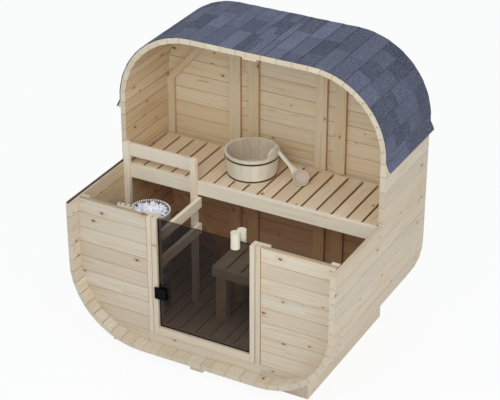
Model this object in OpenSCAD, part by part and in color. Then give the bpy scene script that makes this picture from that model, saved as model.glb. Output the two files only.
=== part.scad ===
// Cutaway barrel sauna of spruce staves, with a rounded square section.
// The upper half of its front is cut away, so that the benches and the heater show.
// Origin: on the ground under the middle of the barrel. X runs across, +Y to the back wall, +Z up.

/* [Barrel] */
// Width over the staves
barrel_w = 2100; // [1900:10:2400]
// Height over the staves, without the base
barrel_h = 2140; // [1950:10:2400]
// Depth from the front rim to the back rim
barrel_d = 1500; // [1400:10:1900]
// Outer radius of the four curved corners
corner_r = 580; // [480:10:680]
// Thickness of a stave
stave_t = 40; // [28:1:48]

/* [Cutaway] */
// Height of the cut rim above the underside of the staves
cut_h = 1070; // [1000:5:1150]
// Depth of the rear part that is left whole, from the back rim
rear_d = 750; // [700:5:800]

/* [Base] */
// Free height between the ground and the barrel
base_h = 85; // [50:5:150]
// Width over the two side boards
base_w = 1596; // [1300:10:1700]
// Distance from each rim to the ends of the side boards
base_set_back = 147; // [60:1:300]
// Thickness of the side boards and saddles
base_board_t = 28; // [18:1:45]
// Width of the middle runner
runner_w = 100; // [60:1:160]
// Distance from each rim to the ends of the middle runner
runner_set_back = 76; // [20:1:200]
// Distance of the runner from the middle, to the left
runner_shift = 57; // [0:1:200]

/* [Shingles] */
// Thickness of the shingle layer
shingle_t = 10; // [4:1:20]
// How far the lowest course stands out from the wall
flare_out = 33; // [15:1:60]
// Height of the lowest course
flare_h = 63; // [30:1:120]
// Plain height between the curve and the lowest course
skirt_h = 11; // [0:1:60]

/* [End walls] */
// Distance from a rim to the outer face of its wall
wall_recess = 95; // [60:1:140]
// Thickness of the wall boards
wall_t = 40; // [25:1:50]
// Thickness of the battens inside the walls
batten_t = 30; // [18:1:40]
// Width of the upright battens
batten_w = 90; // [50:1:110]
// Width of the battens at the side walls and of the slanted ones
edge_batten_w = 60; // [40:1:90]
// Half the width of the middle panel of the back wall
panel_half_w = 353; // [250:1:450]
// Distance between the two battens at a panel joint
batten_gap = 62; // [10:1:120]
// Height of the straight edge battens, evenly about the middle
edge_batten_h = 860; // [600:10:1000]
// Rise of the slanted battens, in degrees
slant_angle = 49; // [40:1:60]

/* [Door frame] */
// Width between the jambs
door_w = 736; // [600:2:860]
// Width of a jamb
jamb_w = 38; // [25:1:60]
// Width of the trim beside a jamb
trim_w = 46; // [25:1:80]
// How far jambs and sill stand out from the wall
frame_proud = 8; // [2:1:15]
// How far the trims stand out from the wall
trim_proud = 4; // [1:1:15]
// Height of the sill's underside above the underside of the staves
sill_foot_h = 124; // [80:1:200]
// Height of the sill
sill_h = 61; // [30:1:90]

/* [Door] */
// Thickness of the glass
glass_t = 8; // [6:1:12]
// Distance from the wall's outer face back to the glass
glass_set_back = 10; // [0:1:20]
// Gap around the glass
door_gap = 6; // [5:0.5:8]
// Width and height of the hinge
hinge_size = 90; // [60:1:120]
// Height of the hinge's middle above the underside of the staves
hinge_h = 477; // [300:1:700]
// Radius of the hinge knuckles
knuckle_r = 7; // [6:0.5:9]
// Radius of the hinge pin
pin_r = 3; // [2:0.5:4]
// Radius of the two handle knobs
knob_r = 32; // [20:1:40]
// Length of the outer knob
outer_knob_l = 120; // [90:1:200]
// Length of the inner knob
inner_knob_l = 96; // [80:1:200]
// Distance from the free edge of the glass to the middle of the knobs
knob_inset = 87; // [60:1:160]
// Distance from the lower end of a knob to its bolt
knob_bolt_h = 15; // [12:1:25]
// Distance from the cut edge of the glass down to the knob bolt
knob_bolt_drop = 15; // [12:1:30]
// Radius of the knob bolt's collar
knob_bolt_r = 9; // [6:1:12]
// Gap between the glass and the outer knob
outer_knob_gap = 13; // [4:1:25]
// Gap between the glass and the inner knob
inner_knob_gap = 6; // [4:1:25]

/* [Benches] */
// Height of the upper bench's top above the underside of the staves
bench_h = 1050; // [950:5:1150]
// Distance from the cut plane to the front of the upper bench, towards the door
bench_lead = 10; // [0:1:60]
// Width of a slat
slat_w = 100; // [60:1:140]
// Gap between two slats
slat_gap = 17.5; // [5:0.5:30]
// Thickness of slats, fascias, bearers and rails
slat_t = 28; // [20:1:40]
// Height of the upper bench's fascia
fascia_h = 112; // [80:1:160]
// Height of the bearers under the slats
bearer_h = 45; // [30:1:50]
// Gap between the upper bench and the battens of the back wall
bench_back_gap = 0.5; // [0.3:0.1:0.8]
// Height of the lower bench's top above the underside of the staves
step_h = 505; // [420:5:600]
// Length of the lower bench along the top, to the right wall
step_l = 1195; // [900:5:1250]
// Depth of the lower bench
step_d = 400; // [300:5:480]
// Distance from the lower bench's front to the upper bench's front
step_lead = 200; // [150:5:260]
// Height of the lower bench's fascia
step_fascia_h = 82; // [75:1:110]
// Width of the lower bench's legs
leg_w = 86; // [40:1:95]
// Depth of the lower bench's legs
leg_d = 62; // [40:1:90]
// Distance from the lower bench's left end to its left legs
leg_inset = 14; // [5:1:60]
// Distance between the left and the right legs of the lower bench
leg_spread = 811; // [600:1:880]

/* [Heater guard] */
// Width of the guard's posts
post_w = 42; // [36:1:90]
// Depth of the guard's posts
post_d = 44; // [36:1:80]
// Height of the posts above the upper bench
post_rise = 190; // [140:5:300]
// Distance from the posts' tops down to the rail
guard_rail_drop = 24; // [0:1:40]
// Height of the rail behind the posts
guard_rail_h = 100; // [60:1:110]
// Height of the two side rails
side_rail_h = 80; // [50:1:110]
// Height of the upper side rail's underside above the underside of the staves
side_rail_high = 845; // [800:5:900]
// Height of the lower side rail's underside above the underside of the staves
side_rail_low = 632; // [500:5:680]
// Distance from the door opening to the side rails
side_rail_inset = 9; // [0:1:30]

/* [Heater] */
// Radius of the heater's cage
heater_r = 148; // [110:1:170]
// Height of the cage's rim above the underside of the staves
heater_rim_h = 890; // [700:5:1000]
// Height of the cage's floor above the underside of the staves
heater_foot_h = 200; // [180:5:260]
// Free distance between the heater and the side rails
heater_clear = 93; // [60:1:140]
// Distance from the front battens to the heater's middle
heater_from_front = 295; // [220:5:340]
// Thickness of the cage's sheet
cage_t = 4; // [2:0.5:6]
// Height of the stones over the rim
stone_rise = 30; // [10:1:60]
// Width of the heater's square legs
heater_leg_w = 30; // [20:1:40]
// Width of the vent cover
vent_w = 126; // [80:1:200]
// Height of the vent cover
vent_h = 120; // [80:1:200]
// Depth of the vent cover
vent_d = 25; // [20:1:40]
// Radius of the holes in the vent cover
vent_hole_r = 8; // [4:0.5:9]
// How far the vent cover stands over the cut rim
vent_rise = 15; // [0:1:60]

/* [Bucket and ladle] */
// Height of the bucket
bucket_h = 192; // [140:1:240]
// Outer radius of the bucket's rim
bucket_rim_r = 202; // [170:1:220]
// Outer radius of the bucket's foot
bucket_foot_r = 178; // [140:1:190]
// Thickness of the bucket's staves
bucket_t = 18; // [10:1:24]
// Distance from the middle to the bucket, to the left
bucket_shift = 125; // [0:5:300]
// Width of a hoop
hoop_w = 18; // [8:1:25]
// Thickness of a hoop
hoop_t = 2.5; // [1.5:0.5:4]
// Distance of the upper hoop from the rim
rim_hoop_inset = 20; // [10:1:50]
// Distance of the lower hoop from the foot
foot_hoop_inset = 9; // [2:1:50]
// Width of the ear stave
ear_w = 98; // [50:1:110]
// Height of the ear stave over the rim
ear_h = 72; // [30:1:80]
// Direction of the ear, in degrees from +X
ear_angle = -11; // [-30:1:0]
// Radius of the ladle's round bowl
bowl_r = 58; // [45:1:75]
// Thickness of the ladle's bowl
bowl_t = 7; // [5:1:12]
// Radius of the ladle's handle
ladle_r = 13; // [8:0.5:14]
// Rise of the ladle's handle, in degrees
ladle_rise = 40; // [30:1:45]
// Turn of the ladle about its handle, towards the door, in degrees
ladle_roll = 35; // [0:1:40]
// Gap between the ear and the ladle's handle where it leans on the rim
ladle_ear_gap = 7; // [5:1:20]
// Direction of the handle from the rim to the bowl, in degrees from +X
ladle_angle = -5; // [-15:1:15]
// Length of the ladle's handle past the rim
ladle_overhang = 28; // [15:1:60]

/* [Hidden] */
$fn = 64;

// Clearance where a piece fits into a curve or beside its neighbour
fit_gap = 0.3;
// Running clearance of the hinge pin in its knuckles
pin_gap = 0.05;
// Extra length of a cut through a piece
overrun = 5;
// Clearance between the two leaves of the hinge
hinge_gap = 1;
// Share of the hinge's height that each knuckle takes
knuckle_share = 1 / 3;
// Share of a jamb's width that the hinge plate covers
hinge_cover_share = 1 / 3;
// Share of the bucket's height up to the top of its floor
bucket_floor_share = 0.14;
// Share of the heater's radius at which its legs stand
heater_leg_share = 0.6;

spruce = [0.85, 0.70, 0.50];
dark_spruce = [0.72, 0.55, 0.36];
slate = [0.35, 0.41, 0.48];
black_steel = [0.08, 0.08, 0.09];
bright_steel = [0.72, 0.73, 0.75];

// Levels and planes of the barrel
half_w = barrel_w / 2;
z_under = base_h;
z_over = base_h + barrel_h;
z_cut = z_under + cut_h;
y_front = -barrel_d / 2;
y_back = barrel_d / 2;
y_cut = y_back - rear_d;
flat_x = half_w - corner_r;
inner_x = half_w - stave_t;
inner_r = corner_r - stave_t;
z_floor = z_under + stave_t;
z_ceiling = z_over - stave_t;
z_low_spring = z_under + corner_r;
z_high_spring = z_over - corner_r;
z_mid = (z_under + z_over) / 2;

// Planes of the end walls, from the outer face inwards
front_out_y = y_front + wall_recess;
front_in_y = front_out_y + wall_t;
front_batten_y = front_in_y + batten_t;
back_out_y = y_back - wall_recess;
back_in_y = back_out_y - wall_t;
back_batten_y = back_in_y - batten_t;

// Door frame and door
jamb_x = door_w / 2;
trim_x = jamb_x + jamb_w;
board_x = trim_x + trim_w;
z_sill_foot = z_under + sill_foot_h;
z_sill = z_sill_foot + sill_h;
frame_y = front_out_y - frame_proud;
glass_y = front_out_y + glass_set_back;
glass_x = jamb_x - door_gap;
glass_back_y = glass_y + glass_t;
pivot_x = -jamb_x + door_gap / 2;
pivot_y = frame_y - knuckle_r - hinge_gap;
hinge_z = z_under + hinge_h - hinge_size / 2;
hinge_front_y = pivot_y - knuckle_r + hinge_gap;
hinge_left_x = pivot_x - knuckle_r - hinge_gap - jamb_w * hinge_cover_share;
hinge_right_x = hinge_left_x + hinge_size;
knuckle_h = hinge_size * knuckle_share;
knob_x = glass_x - knob_inset;
knob_bolt_z = z_cut - knob_bolt_drop;
knob_z = knob_bolt_z - knob_bolt_h;
outer_knob_y = glass_y - outer_knob_gap - knob_r;
inner_knob_y = glass_back_y + inner_knob_gap + knob_r;

// Upper bench, between the cut plane and the back battens
z_bench = z_under + bench_h;
z_slat = z_bench - slat_t;
bench_front_y = y_cut - bench_lead;
slat_front_y = bench_front_y + slat_t;
bench_back_y = back_batten_y - bench_back_gap;
slat_back_y = bench_back_y - slat_t;
slat_pitch = slat_w + slat_gap;
side_slats = floor((inner_x - slat_gap - slat_w / 2) / slat_pitch);

// Lower bench, from its left end to the right wall
z_step = z_under + step_h;
z_step_slat = z_step - slat_t;
step_left_x = inner_x - step_l;
step_front_y = bench_front_y - step_lead;
step_back_y = step_front_y + step_d;
z_leg_top = z_step_slat - bearer_h;
step_right_x = reach_x(z_leg_top) - slat_gap;
step_slats = floor((step_right_x - step_left_x + slat_gap) / slat_pitch);
leg_lefts = [step_left_x + leg_inset, step_left_x + leg_inset + leg_spread];
leg_fronts = [step_front_y + slat_t, step_back_y - slat_t - leg_d];

// Heater guard
side_rail_x = -jamb_x - side_rail_inset;
corner_post_right = side_rail_x - slat_t;
corner_post_left = corner_post_right - post_w;
guard_rail_right = corner_post_right - post_w / 2;
wall_post_right = -inner_x + post_w;
post_back_y = bench_front_y;
post_front_y = post_back_y - post_d;
z_post = z_bench + post_rise;
z_guard_rail = z_post - guard_rail_drop;

// Heater
heater_x = side_rail_x - slat_t - heater_clear - heater_r;
heater_y = front_batten_y + heater_from_front;
z_heater = z_under + heater_foot_h;
z_rim = z_under + heater_rim_h;
heater_leg_at = heater_r * heater_leg_share;
stone_r = heater_r - cage_t - fit_gap;
stone_dome_r = (stone_r * stone_r + stone_rise * stone_rise) / (2 * stone_rise);
vent_x = heater_x - vent_w / 2;
z_vent = z_cut + vent_rise;
vent_hole_pitch = vent_w / 3;

// Bucket and ladle on the upper bench
bucket_x = -bucket_shift;
bucket_y = (slat_front_y + slat_back_y) / 2;
z_bucket_rim = z_bench + bucket_h;
bucket_slope = (bucket_rim_r - bucket_foot_r) / bucket_h;
bucket_floor_h = bucket_h * bucket_floor_share;
rim_mid_r = bucket_rim_r - bucket_t / 2;
ear_half_turn = asin(ear_w / 2 / bucket_rim_r);
ladle_spot = ear_angle + ear_half_turn + asin((ladle_r + ladle_ear_gap) / rim_mid_r);
ladle_skew = ladle_angle - ladle_spot;
ladle_seat = (ladle_r + fit_gap) / cos(ladle_rise) + bucket_t / 2 / cos(ladle_skew) * tan(ladle_rise);
z_ladle_seat = z_bucket_rim + ladle_seat;
z_ladle = z_bench + fit_gap + bowl_r - ladle_r * cos(ladle_rise) * cos(ladle_roll);
ladle_run = (z_ladle_seat - z_ladle) / tan(ladle_rise);
handle_l = (ladle_run + ladle_overhang) / cos(ladle_rise);

// Half the clear width between the staves at a height
function reach_x(z) =
    z < z_low_spring ? flat_x + sqrt(max(0, inner_r * inner_r - pow(z_low_spring - z, 2)))
    : z > z_high_spring ? flat_x + sqrt(max(0, inner_r * inner_r - pow(z - z_high_spring, 2)))
    : inner_x;

// A box from its lowest to its highest corner
module block(low, high) {
    translate(low) cube(high - low);
}

// An outline in X and Z, drawn out along Y
module run(from_y, to_y) {
    translate([0, to_y, 0]) rotate([90, 0, 0]) linear_extrude(to_y - from_y) children();
}

// A rectangle in X and Z
module pane(low, high) {
    translate(low) square(high - low);
}

// The rounded square outline of the barrel, grown by a distance
module barrel_outline(grow) {
    r = corner_r + grow;
    pane([-half_w - grow, z_low_spring], [half_w + grow, z_high_spring]);
    pane([-flat_x, z_under - grow], [flat_x, z_over + grow]);
    for (x = [-flat_x, flat_x], z = [z_low_spring, z_high_spring]) translate([x, z]) circle(r, $fn = 256);
}

// The outline that a piece inside the barrel has to keep to
module room_outline() {
    barrel_outline(-stave_t - fit_gap);
}

// A quarter ring in one corner of the barrel: 0 is the upper right, then on to the left
module corner_ring(turn, r_in, r_out, from_y, to_y) {
    x = turn == 0 || turn == 270 ? flat_x : -flat_x;
    z = turn < 180 ? z_high_spring : z_low_spring;
    translate([x, to_y, z])
        rotate([90, 0, 0])
            rotate([0, 0, turn])
                rotate_extrude(angle = 90)
                    translate([r_in, 0]) square([r_out - r_in, to_y - from_y]);
}

// A straight stretch of a side wall
module side_wall(side, from_z, to_z, from_y) {
    left_x = side < 0 ? -half_w : inner_x;
    color(spruce) block([left_x, from_y, from_z], [left_x + stave_t, y_back, to_z]);
}

// The shell of staves
module floor_staves() {
    color(spruce) block([-flat_x, y_front, z_under], [flat_x, y_back, z_floor]);
}

module left_lower_curve() {
    color(spruce) corner_ring(180, inner_r, corner_r, y_front, y_back);
}

module right_lower_curve() {
    color(spruce) corner_ring(270, inner_r, corner_r, y_front, y_back);
}

module left_lower_wall() {
    side_wall(-1, z_low_spring, z_cut, y_front);
}

module right_lower_wall() {
    side_wall(1, z_low_spring, z_cut, y_front);
}

module left_upper_wall() {
    side_wall(-1, z_cut, z_high_spring, y_cut);
}

module right_upper_wall() {
    side_wall(1, z_cut, z_high_spring, y_cut);
}

module left_upper_curve() {
    color(spruce) corner_ring(90, inner_r, corner_r, y_cut, y_back);
}

module right_upper_curve() {
    color(spruce) corner_ring(0, inner_r, corner_r, y_cut, y_back);
}

module ceiling_staves() {
    color(spruce) block([-flat_x, y_cut, z_ceiling], [flat_x, y_back, z_over]);
}

// The shingle layer over the rear half of the roof
module shingle_side(turn) {
    out = turn == 0 ? 1 : -1;
    z_skirt = z_high_spring - skirt_h;
    tip_x = half_w + flare_out;
    color(slate) {
        corner_ring(turn, corner_r + fit_gap, corner_r + shingle_t, y_cut, y_back);
        run(y_cut, y_back) polygon([
            [out * (half_w + fit_gap), z_high_spring],
            [out * (half_w + shingle_t), z_high_spring],
            [out * (half_w + shingle_t), z_skirt],
            [out * tip_x, z_skirt - flare_h],
            [out * (tip_x - shingle_t), z_skirt - flare_h],
            [out * (half_w + fit_gap), z_skirt]
        ]);
    }
}

module left_shingles() {
    shingle_side(90);
}

module top_shingles() {
    color(slate) block([-flat_x, y_cut, z_over], [flat_x, y_back, z_over + shingle_t]);
}

module right_shingles() {
    shingle_side(0);
}

// The three-cornered battens under the lowest courses
module eave_fillets() {
    z_tip = z_high_spring - skirt_h - flare_h;
    lean = (flare_out - shingle_t - fit_gap) / flare_h;
    color(spruce) run(y_cut, y_back) for (out = [-1, 1]) polygon([
        [out * half_w, z_tip],
        [out * (half_w + lean * flare_h), z_tip],
        [out * half_w, z_tip + flare_h]
    ]);
}

// A panel of an end wall, cut out of the room's outline
module wall_panel(low, high, from_y, to_y) {
    color(spruce) run(from_y, to_y) intersection() {
        room_outline();
        pane(low, high);
    }
}

module front_wall_left() {
    wall_panel([-half_w, z_under], [-board_x, z_cut], front_out_y, front_in_y);
}

module front_wall_right() {
    wall_panel([board_x, z_under], [half_w, z_cut], front_out_y, front_in_y);
}

module front_wall_foot() {
    wall_panel([-board_x, z_under], [board_x, z_sill_foot], front_out_y, front_in_y);
}

// A slanted batten in a corner of an end wall: it climbs from the edge batten to an upright one
module slant(side, level, to_x) {
    z_start = z_mid + edge_batten_h / 2 + fit_gap;
    rise = tan(slant_angle);
    near_x = inner_x - edge_batten_w;
    points = [
        [inner_x, z_start],
        [near_x, z_start],
        [to_x, z_start + (near_x - to_x) * rise],
        [to_x, z_start + (inner_x - to_x) * rise]
    ];
    intersection() {
        room_outline();
        polygon([for (p = points) [side * p[0], z_mid + level * (p[1] - z_mid)]]);
    }
}

// An upright batten of an end wall, right and left of the middle
module upright_pair(from_x, to_x, from_z, to_z) {
    for (side = [-1, 1]) intersection() {
        room_outline();
        pane([min(side * from_x, side * to_x), from_z], [max(side * from_x, side * to_x), to_z]);
    }
}

module front_battens() {
    upright_x = trim_x + batten_w;
    color(spruce) run(front_in_y, front_batten_y) {
        upright_pair(trim_x, upright_x, z_under, z_cut);
        upright_pair(inner_x - edge_batten_w, inner_x, z_mid - edge_batten_h / 2, z_cut);
        for (side = [-1, 1]) slant(side, -1, upright_x + fit_gap);
    }
}

module door_jambs() {
    color(spruce) for (left_x = [-trim_x, jamb_x])
        block([left_x, frame_y, z_sill_foot], [left_x + jamb_w, front_batten_y, z_cut]);
}

module door_trims() {
    color(spruce) for (left_x = [-board_x, trim_x])
        block([left_x, front_out_y - trim_proud, z_sill_foot], [left_x + trim_w, front_in_y, z_cut]);
}

module door_sill() {
    color(spruce) block([-jamb_x, frame_y, z_sill_foot], [jamb_x, front_batten_y, z_sill]);
}

module back_wall_left() {
    wall_panel([-half_w, z_under], [-panel_half_w, z_over], back_in_y, back_out_y);
}

module back_wall_middle() {
    wall_panel([-panel_half_w, z_under], [panel_half_w, z_over], back_in_y, back_out_y);
}

module back_wall_right() {
    wall_panel([panel_half_w, z_under], [half_w, z_over], back_in_y, back_out_y);
}

module back_battens() {
    inner_edge = panel_half_w - batten_gap / 2;
    outer_edge = panel_half_w + batten_gap / 2;
    color(spruce) run(back_batten_y, back_in_y) {
        upright_pair(inner_edge - batten_w, inner_edge, z_under, z_over);
        upright_pair(outer_edge, outer_edge + batten_w, z_under, z_over);
        upright_pair(inner_x - edge_batten_w, inner_x, z_mid - edge_batten_h / 2, z_mid + edge_batten_h / 2);
        for (side = [-1, 1], level = [-1, 1]) slant(side, level, outer_edge + batten_w + fit_gap);
    }
}

// The upper bench: slats from the front to the back fascia, on bearers
module upper_bench_slats() {
    color(spruce) for (i = [-side_slats : side_slats]) {
        left_x = i * slat_pitch - slat_w / 2;
        block([left_x, slat_front_y, z_slat], [left_x + slat_w, slat_back_y, z_bench]);
    }
}

module upper_bench_fascias() {
    z_low = z_bench - fascia_h;
    end_x = inner_x - fit_gap;
    color(spruce) {
        block([-end_x, bench_front_y, z_low], [end_x, slat_front_y, z_bench]);
        block([-end_x, slat_back_y, z_low], [end_x, bench_back_y, z_bench]);
    }
}

module upper_bench_bearers() {
    end_x = inner_x - fit_gap;
    z_low = z_slat - bearer_h;
    front_y = slat_front_y + slat_t;
    back_y = slat_back_y - slat_t;
    color(dark_spruce) {
        block([-end_x, slat_front_y, z_low], [end_x, front_y, z_slat]);
        block([-end_x, back_y, z_low], [end_x, slat_back_y, z_slat]);
        for (left_x = [-end_x, end_x - slat_t])
            block([left_x, front_y + fit_gap, z_low], [left_x + slat_t, back_y - fit_gap, z_slat]);
    }
}

// The lower bench: a step that runs from beside the guard to the right wall
module lower_bench_slats() {
    color(spruce) for (i = [0 : step_slats - 1]) {
        left_x = step_left_x + i * slat_pitch;
        block([left_x, step_front_y + slat_t, z_step_slat], [left_x + slat_w, step_back_y - slat_t, z_step]);
    }
}

module lower_bench_fascias() {
    z_low = z_step - step_fascia_h;
    end_x = reach_x(z_low) - fit_gap;
    color(spruce) for (front_y = [step_front_y, step_back_y - slat_t])
        block([step_left_x, front_y, z_low], [end_x, front_y + slat_t, z_step]);
}

module lower_bench_bearers() {
    end_x = reach_x(z_leg_top) - fit_gap;
    color(dark_spruce) for (front_y = [step_front_y + slat_t, step_back_y - 2 * slat_t])
        block([step_left_x, front_y, z_leg_top], [end_x, front_y + slat_t, z_step_slat]);
}

module lower_bench_legs() {
    color(dark_spruce) for (front_y = leg_fronts) run(front_y, front_y + leg_d) intersection() {
        room_outline();
        for (left_x = leg_lefts) pane([left_x, z_under], [left_x + leg_w, z_leg_top]);
    }
}

// The guard around the heater
module guard_posts() {
    color(spruce) run(post_front_y, post_back_y) intersection() {
        room_outline();
        union() {
            pane([-half_w, z_under], [wall_post_right, z_post]);
            pane([corner_post_left, z_under], [corner_post_right, z_post]);
        }
    }
}

module guard_rails() {
    color(spruce) {
        block([-inner_x + fit_gap, bench_front_y, z_guard_rail - guard_rail_h],
            [guard_rail_right, slat_front_y, z_guard_rail]);
        for (h = [side_rail_high, side_rail_low])
            block([side_rail_x - slat_t, front_batten_y, z_under + h],
                [side_rail_x, post_back_y, z_under + h + side_rail_h]);
    }
}

// The heater: a round cage full of stones, on four legs that reach the curved floor
module heater_cage() {
    color(bright_steel) translate([heater_x, heater_y, z_heater]) difference() {
        cylinder(h = z_rim - z_heater, r = heater_r);
        translate([0, 0, cage_t]) cylinder(h = z_rim - z_heater, r = heater_r - cage_t);
    }
}

module heater_stones() {
    pile_h = z_rim - z_heater - cage_t;
    color("lightslategray") translate([heater_x, heater_y, z_heater + cage_t]) {
        cylinder(h = pile_h, r = stone_r);
        intersection() {
            translate([0, 0, pile_h + stone_rise - stone_dome_r]) sphere(stone_dome_r, $fn = 128);
            cylinder(h = pile_h + stone_rise, r = stone_r);
        }
    }
}

module heater_legs() {
    color(black_steel) for (side_y = [-1, 1]) {
        leg_y = heater_y + side_y * heater_leg_at - heater_leg_w / 2;
        run(leg_y, leg_y + heater_leg_w) intersection() {
            room_outline();
            for (side_x = [-1, 1]) {
                leg_x = heater_x + side_x * heater_leg_at - heater_leg_w / 2;
                pane([leg_x, z_under], [leg_x + heater_leg_w, z_heater]);
            }
        }
    }
}

module vent_cover() {
    color(spruce) difference() {
        block([vent_x, front_in_y, z_vent - vent_h], [vent_x + vent_w, front_in_y + vent_d, z_vent]);
        for (i = [-1 : 1])
            translate([heater_x + i * vent_hole_pitch, front_in_y + vent_d / 2, z_vent - vent_h - overrun])
                cylinder(h = vent_h + 2 * overrun, r = vent_hole_r);
    }
}

// The base: boards on edge that carry the curve, and a runner under the middle
module base_board(low, high) {
    color(spruce) difference() {
        block(low, high);
        run(low[1] - overrun, high[1] + overrun) barrel_outline(fit_gap);
    }
}

module base_sides() {
    end_y = barrel_d / 2 - base_set_back;
    for (left_x = [-base_w / 2, base_w / 2 - base_board_t])
        base_board([left_x, -end_y, 0], [left_x + base_board_t, end_y, z_low_spring]);
}

module base_saddles() {
    end_y = barrel_d / 2 - base_set_back;
    end_x = base_w / 2 - base_board_t;
    runner_left = -runner_shift - runner_w / 2;
    for (front_y = [-end_y, end_y - base_board_t]) {
        back_y = front_y + base_board_t;
        base_board([-end_x, front_y, 0], [runner_left, back_y, z_low_spring]);
        base_board([runner_left + runner_w, front_y, 0], [end_x, back_y, z_low_spring]);
    }
}

module base_runner() {
    end_y = barrel_d / 2 - runner_set_back;
    left_x = -runner_shift - runner_w / 2;
    color(spruce) block([left_x, -end_y, 0], [left_x + runner_w, end_y, z_under]);
}

// A knuckle of the hinge, as a bored drum around the pivot
module knuckle(from_z, to_z, bore_r) {
    translate([pivot_x, pivot_y, from_z]) difference() {
        cylinder(h = to_z - from_z, r = knuckle_r);
        translate([0, 0, -overrun]) cylinder(h = to_z - from_z + 2 * overrun, r = bore_r);
    }
}

// The hinge leaf on the jamb, with the middle knuckle and the pin
module hinge_frame_leaf() {
    low_z = hinge_z + knuckle_h + hinge_gap;
    high_z = hinge_z + hinge_size - knuckle_h - hinge_gap;
    plate_right = pivot_x - knuckle_r - hinge_gap;
    color(black_steel) {
        block([hinge_left_x, hinge_front_y, hinge_z], [plate_right, frame_y, hinge_z + hinge_size]);
        block([hinge_left_x, pivot_y - knuckle_r / 2, low_z], [pivot_x, pivot_y + knuckle_r / 2, high_z]);
        translate([pivot_x, pivot_y, low_z]) cylinder(h = high_z - low_z, r = knuckle_r);
        translate([pivot_x, pivot_y, hinge_z]) cylinder(h = hinge_size, r = pin_r);
    }
}

// The door: one cut sheet of glass, its hinge leaf and its two knobs
module door_glass() {
    color([0.30, 0.27, 0.24, 0.6])
        block([-glass_x, glass_y, z_sill + door_gap], [glass_x, glass_back_y, z_cut]);
}

module hinge_door_leaf() {
    plate_left = pivot_x + knuckle_r + hinge_gap;
    top_z = hinge_z + hinge_size;
    bore_r = pin_r + pin_gap;
    color(black_steel) {
        block([plate_left, hinge_front_y, hinge_z], [hinge_right_x, glass_y, top_z]);
        for (z = [hinge_z, top_z - knuckle_h]) difference() {
            union() {
                knuckle(z, z + knuckle_h, bore_r);
                block([pivot_x, pivot_y - knuckle_r / 2, z],
                    [plate_left, pivot_y + knuckle_r / 2, z + knuckle_h]);
            }
            translate([pivot_x, pivot_y, z - overrun]) cylinder(h = knuckle_h + 2 * overrun, r = bore_r);
        }
    }
}

// One knob with the collar of its bolt, which meets the glass below the cut edge
module knob(axis_y, face_y, knob_l) {
    collar_l = abs(face_y - axis_y);
    translate([knob_x, axis_y, knob_z]) cylinder(h = knob_l, r = knob_r);
    translate([knob_x, max(axis_y, face_y), knob_bolt_z])
        rotate([90, 0, 0]) cylinder(h = collar_l, r = knob_bolt_r);
}

module door_handles() {
    color(spruce) {
        knob(outer_knob_y, glass_y, outer_knob_l);
        knob(inner_knob_y, glass_back_y, inner_knob_l);
    }
}

// Outer radius of the bucket at a height over its foot
function bucket_r(h) = bucket_foot_r + bucket_slope * h;

// The bucket's staves end at the rim, apart from the one that is its ear
module bucket_tub() {
    top_h = bucket_h + ear_h;
    top_r = bucket_r(top_h);
    color(spruce) translate([bucket_x, bucket_y, z_bench]) difference() {
        rotate_extrude() polygon([
            [0, 0],
            [bucket_foot_r, 0],
            [top_r, top_h],
            [top_r - bucket_t, top_h],
            [bucket_r(bucket_floor_h) - bucket_t, bucket_floor_h],
            [0, bucket_floor_h]
        ]);
        difference() {
            translate([0, 0, bucket_h]) cylinder(h = ear_h + overrun, r = top_r + overrun);
            rotate([0, 0, ear_angle])
                block([0, -ear_w / 2, 0], [top_r + 2 * overrun, ear_w / 2, top_h + 2 * overrun]);
        }
    }
}

module bucket_hoops() {
    color(black_steel) translate([bucket_x, bucket_y, z_bench])
        for (low = [foot_hoop_inset, bucket_h - rim_hoop_inset - hoop_w]) {
            high = low + hoop_w;
            rotate_extrude() polygon([
                [bucket_r(low) + fit_gap, low],
                [bucket_r(low) + hoop_t, low],
                [bucket_r(high) + hoop_t, high],
                [bucket_r(high) + fit_gap, high]
            ]);
        }
}

// The ladle: its half-round bowl lies on the bench and its handle leans on the bucket's rim
module ladle() {
    color(spruce) translate([bucket_x, bucket_y, z_ladle])
        rotate([0, 0, ladle_spot]) translate([rim_mid_r, 0, 0])
            rotate([0, 0, ladle_skew]) translate([ladle_run, 0, 0])
                rotate([0, ladle_rise, 0])
                    rotate([ladle_roll, 0, 0])
                        difference() {
                            union() {
                                intersection() {
                                    translate([0, 0, ladle_r]) sphere(bowl_r, $fn = 128);
                                    block([-bowl_r, -bowl_r, ladle_r - bowl_r], [bowl_r, bowl_r, ladle_r]);
                                }
                                rotate([0, -90, 0]) cylinder(h = handle_l, r = ladle_r);
                            }
                            translate([0, 0, ladle_r]) sphere(bowl_r - bowl_t, $fn = 128);
                        }
}

floor_staves();
left_lower_curve();
right_lower_curve();
left_lower_wall();
right_lower_wall();
left_upper_wall();
right_upper_wall();
left_upper_curve();
right_upper_curve();
ceiling_staves();
left_shingles();
top_shingles();
right_shingles();
eave_fillets();
front_wall_left();
front_wall_right();
front_wall_foot();
front_battens();
door_jambs();
door_trims();
door_sill();
back_wall_left();
back_wall_middle();
back_wall_right();
back_battens();
upper_bench_slats();
upper_bench_fascias();
upper_bench_bearers();
lower_bench_slats();
lower_bench_fascias();
lower_bench_bearers();
lower_bench_legs();
guard_posts();
guard_rails();
heater_cage();
heater_stones();
heater_legs();
vent_cover();
base_sides();
base_saddles();
base_runner();
hinge_frame_leaf();
door_glass();
hinge_door_leaf();
door_handles();
bucket_tub();
bucket_hoops();
ladle();
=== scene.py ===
"""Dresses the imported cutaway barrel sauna: staves, boards, shingles, benches, heater, bucket and ladle."""
import math
import random

import bmesh
import bpy
from mathutils import Matrix, Vector, noise


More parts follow.
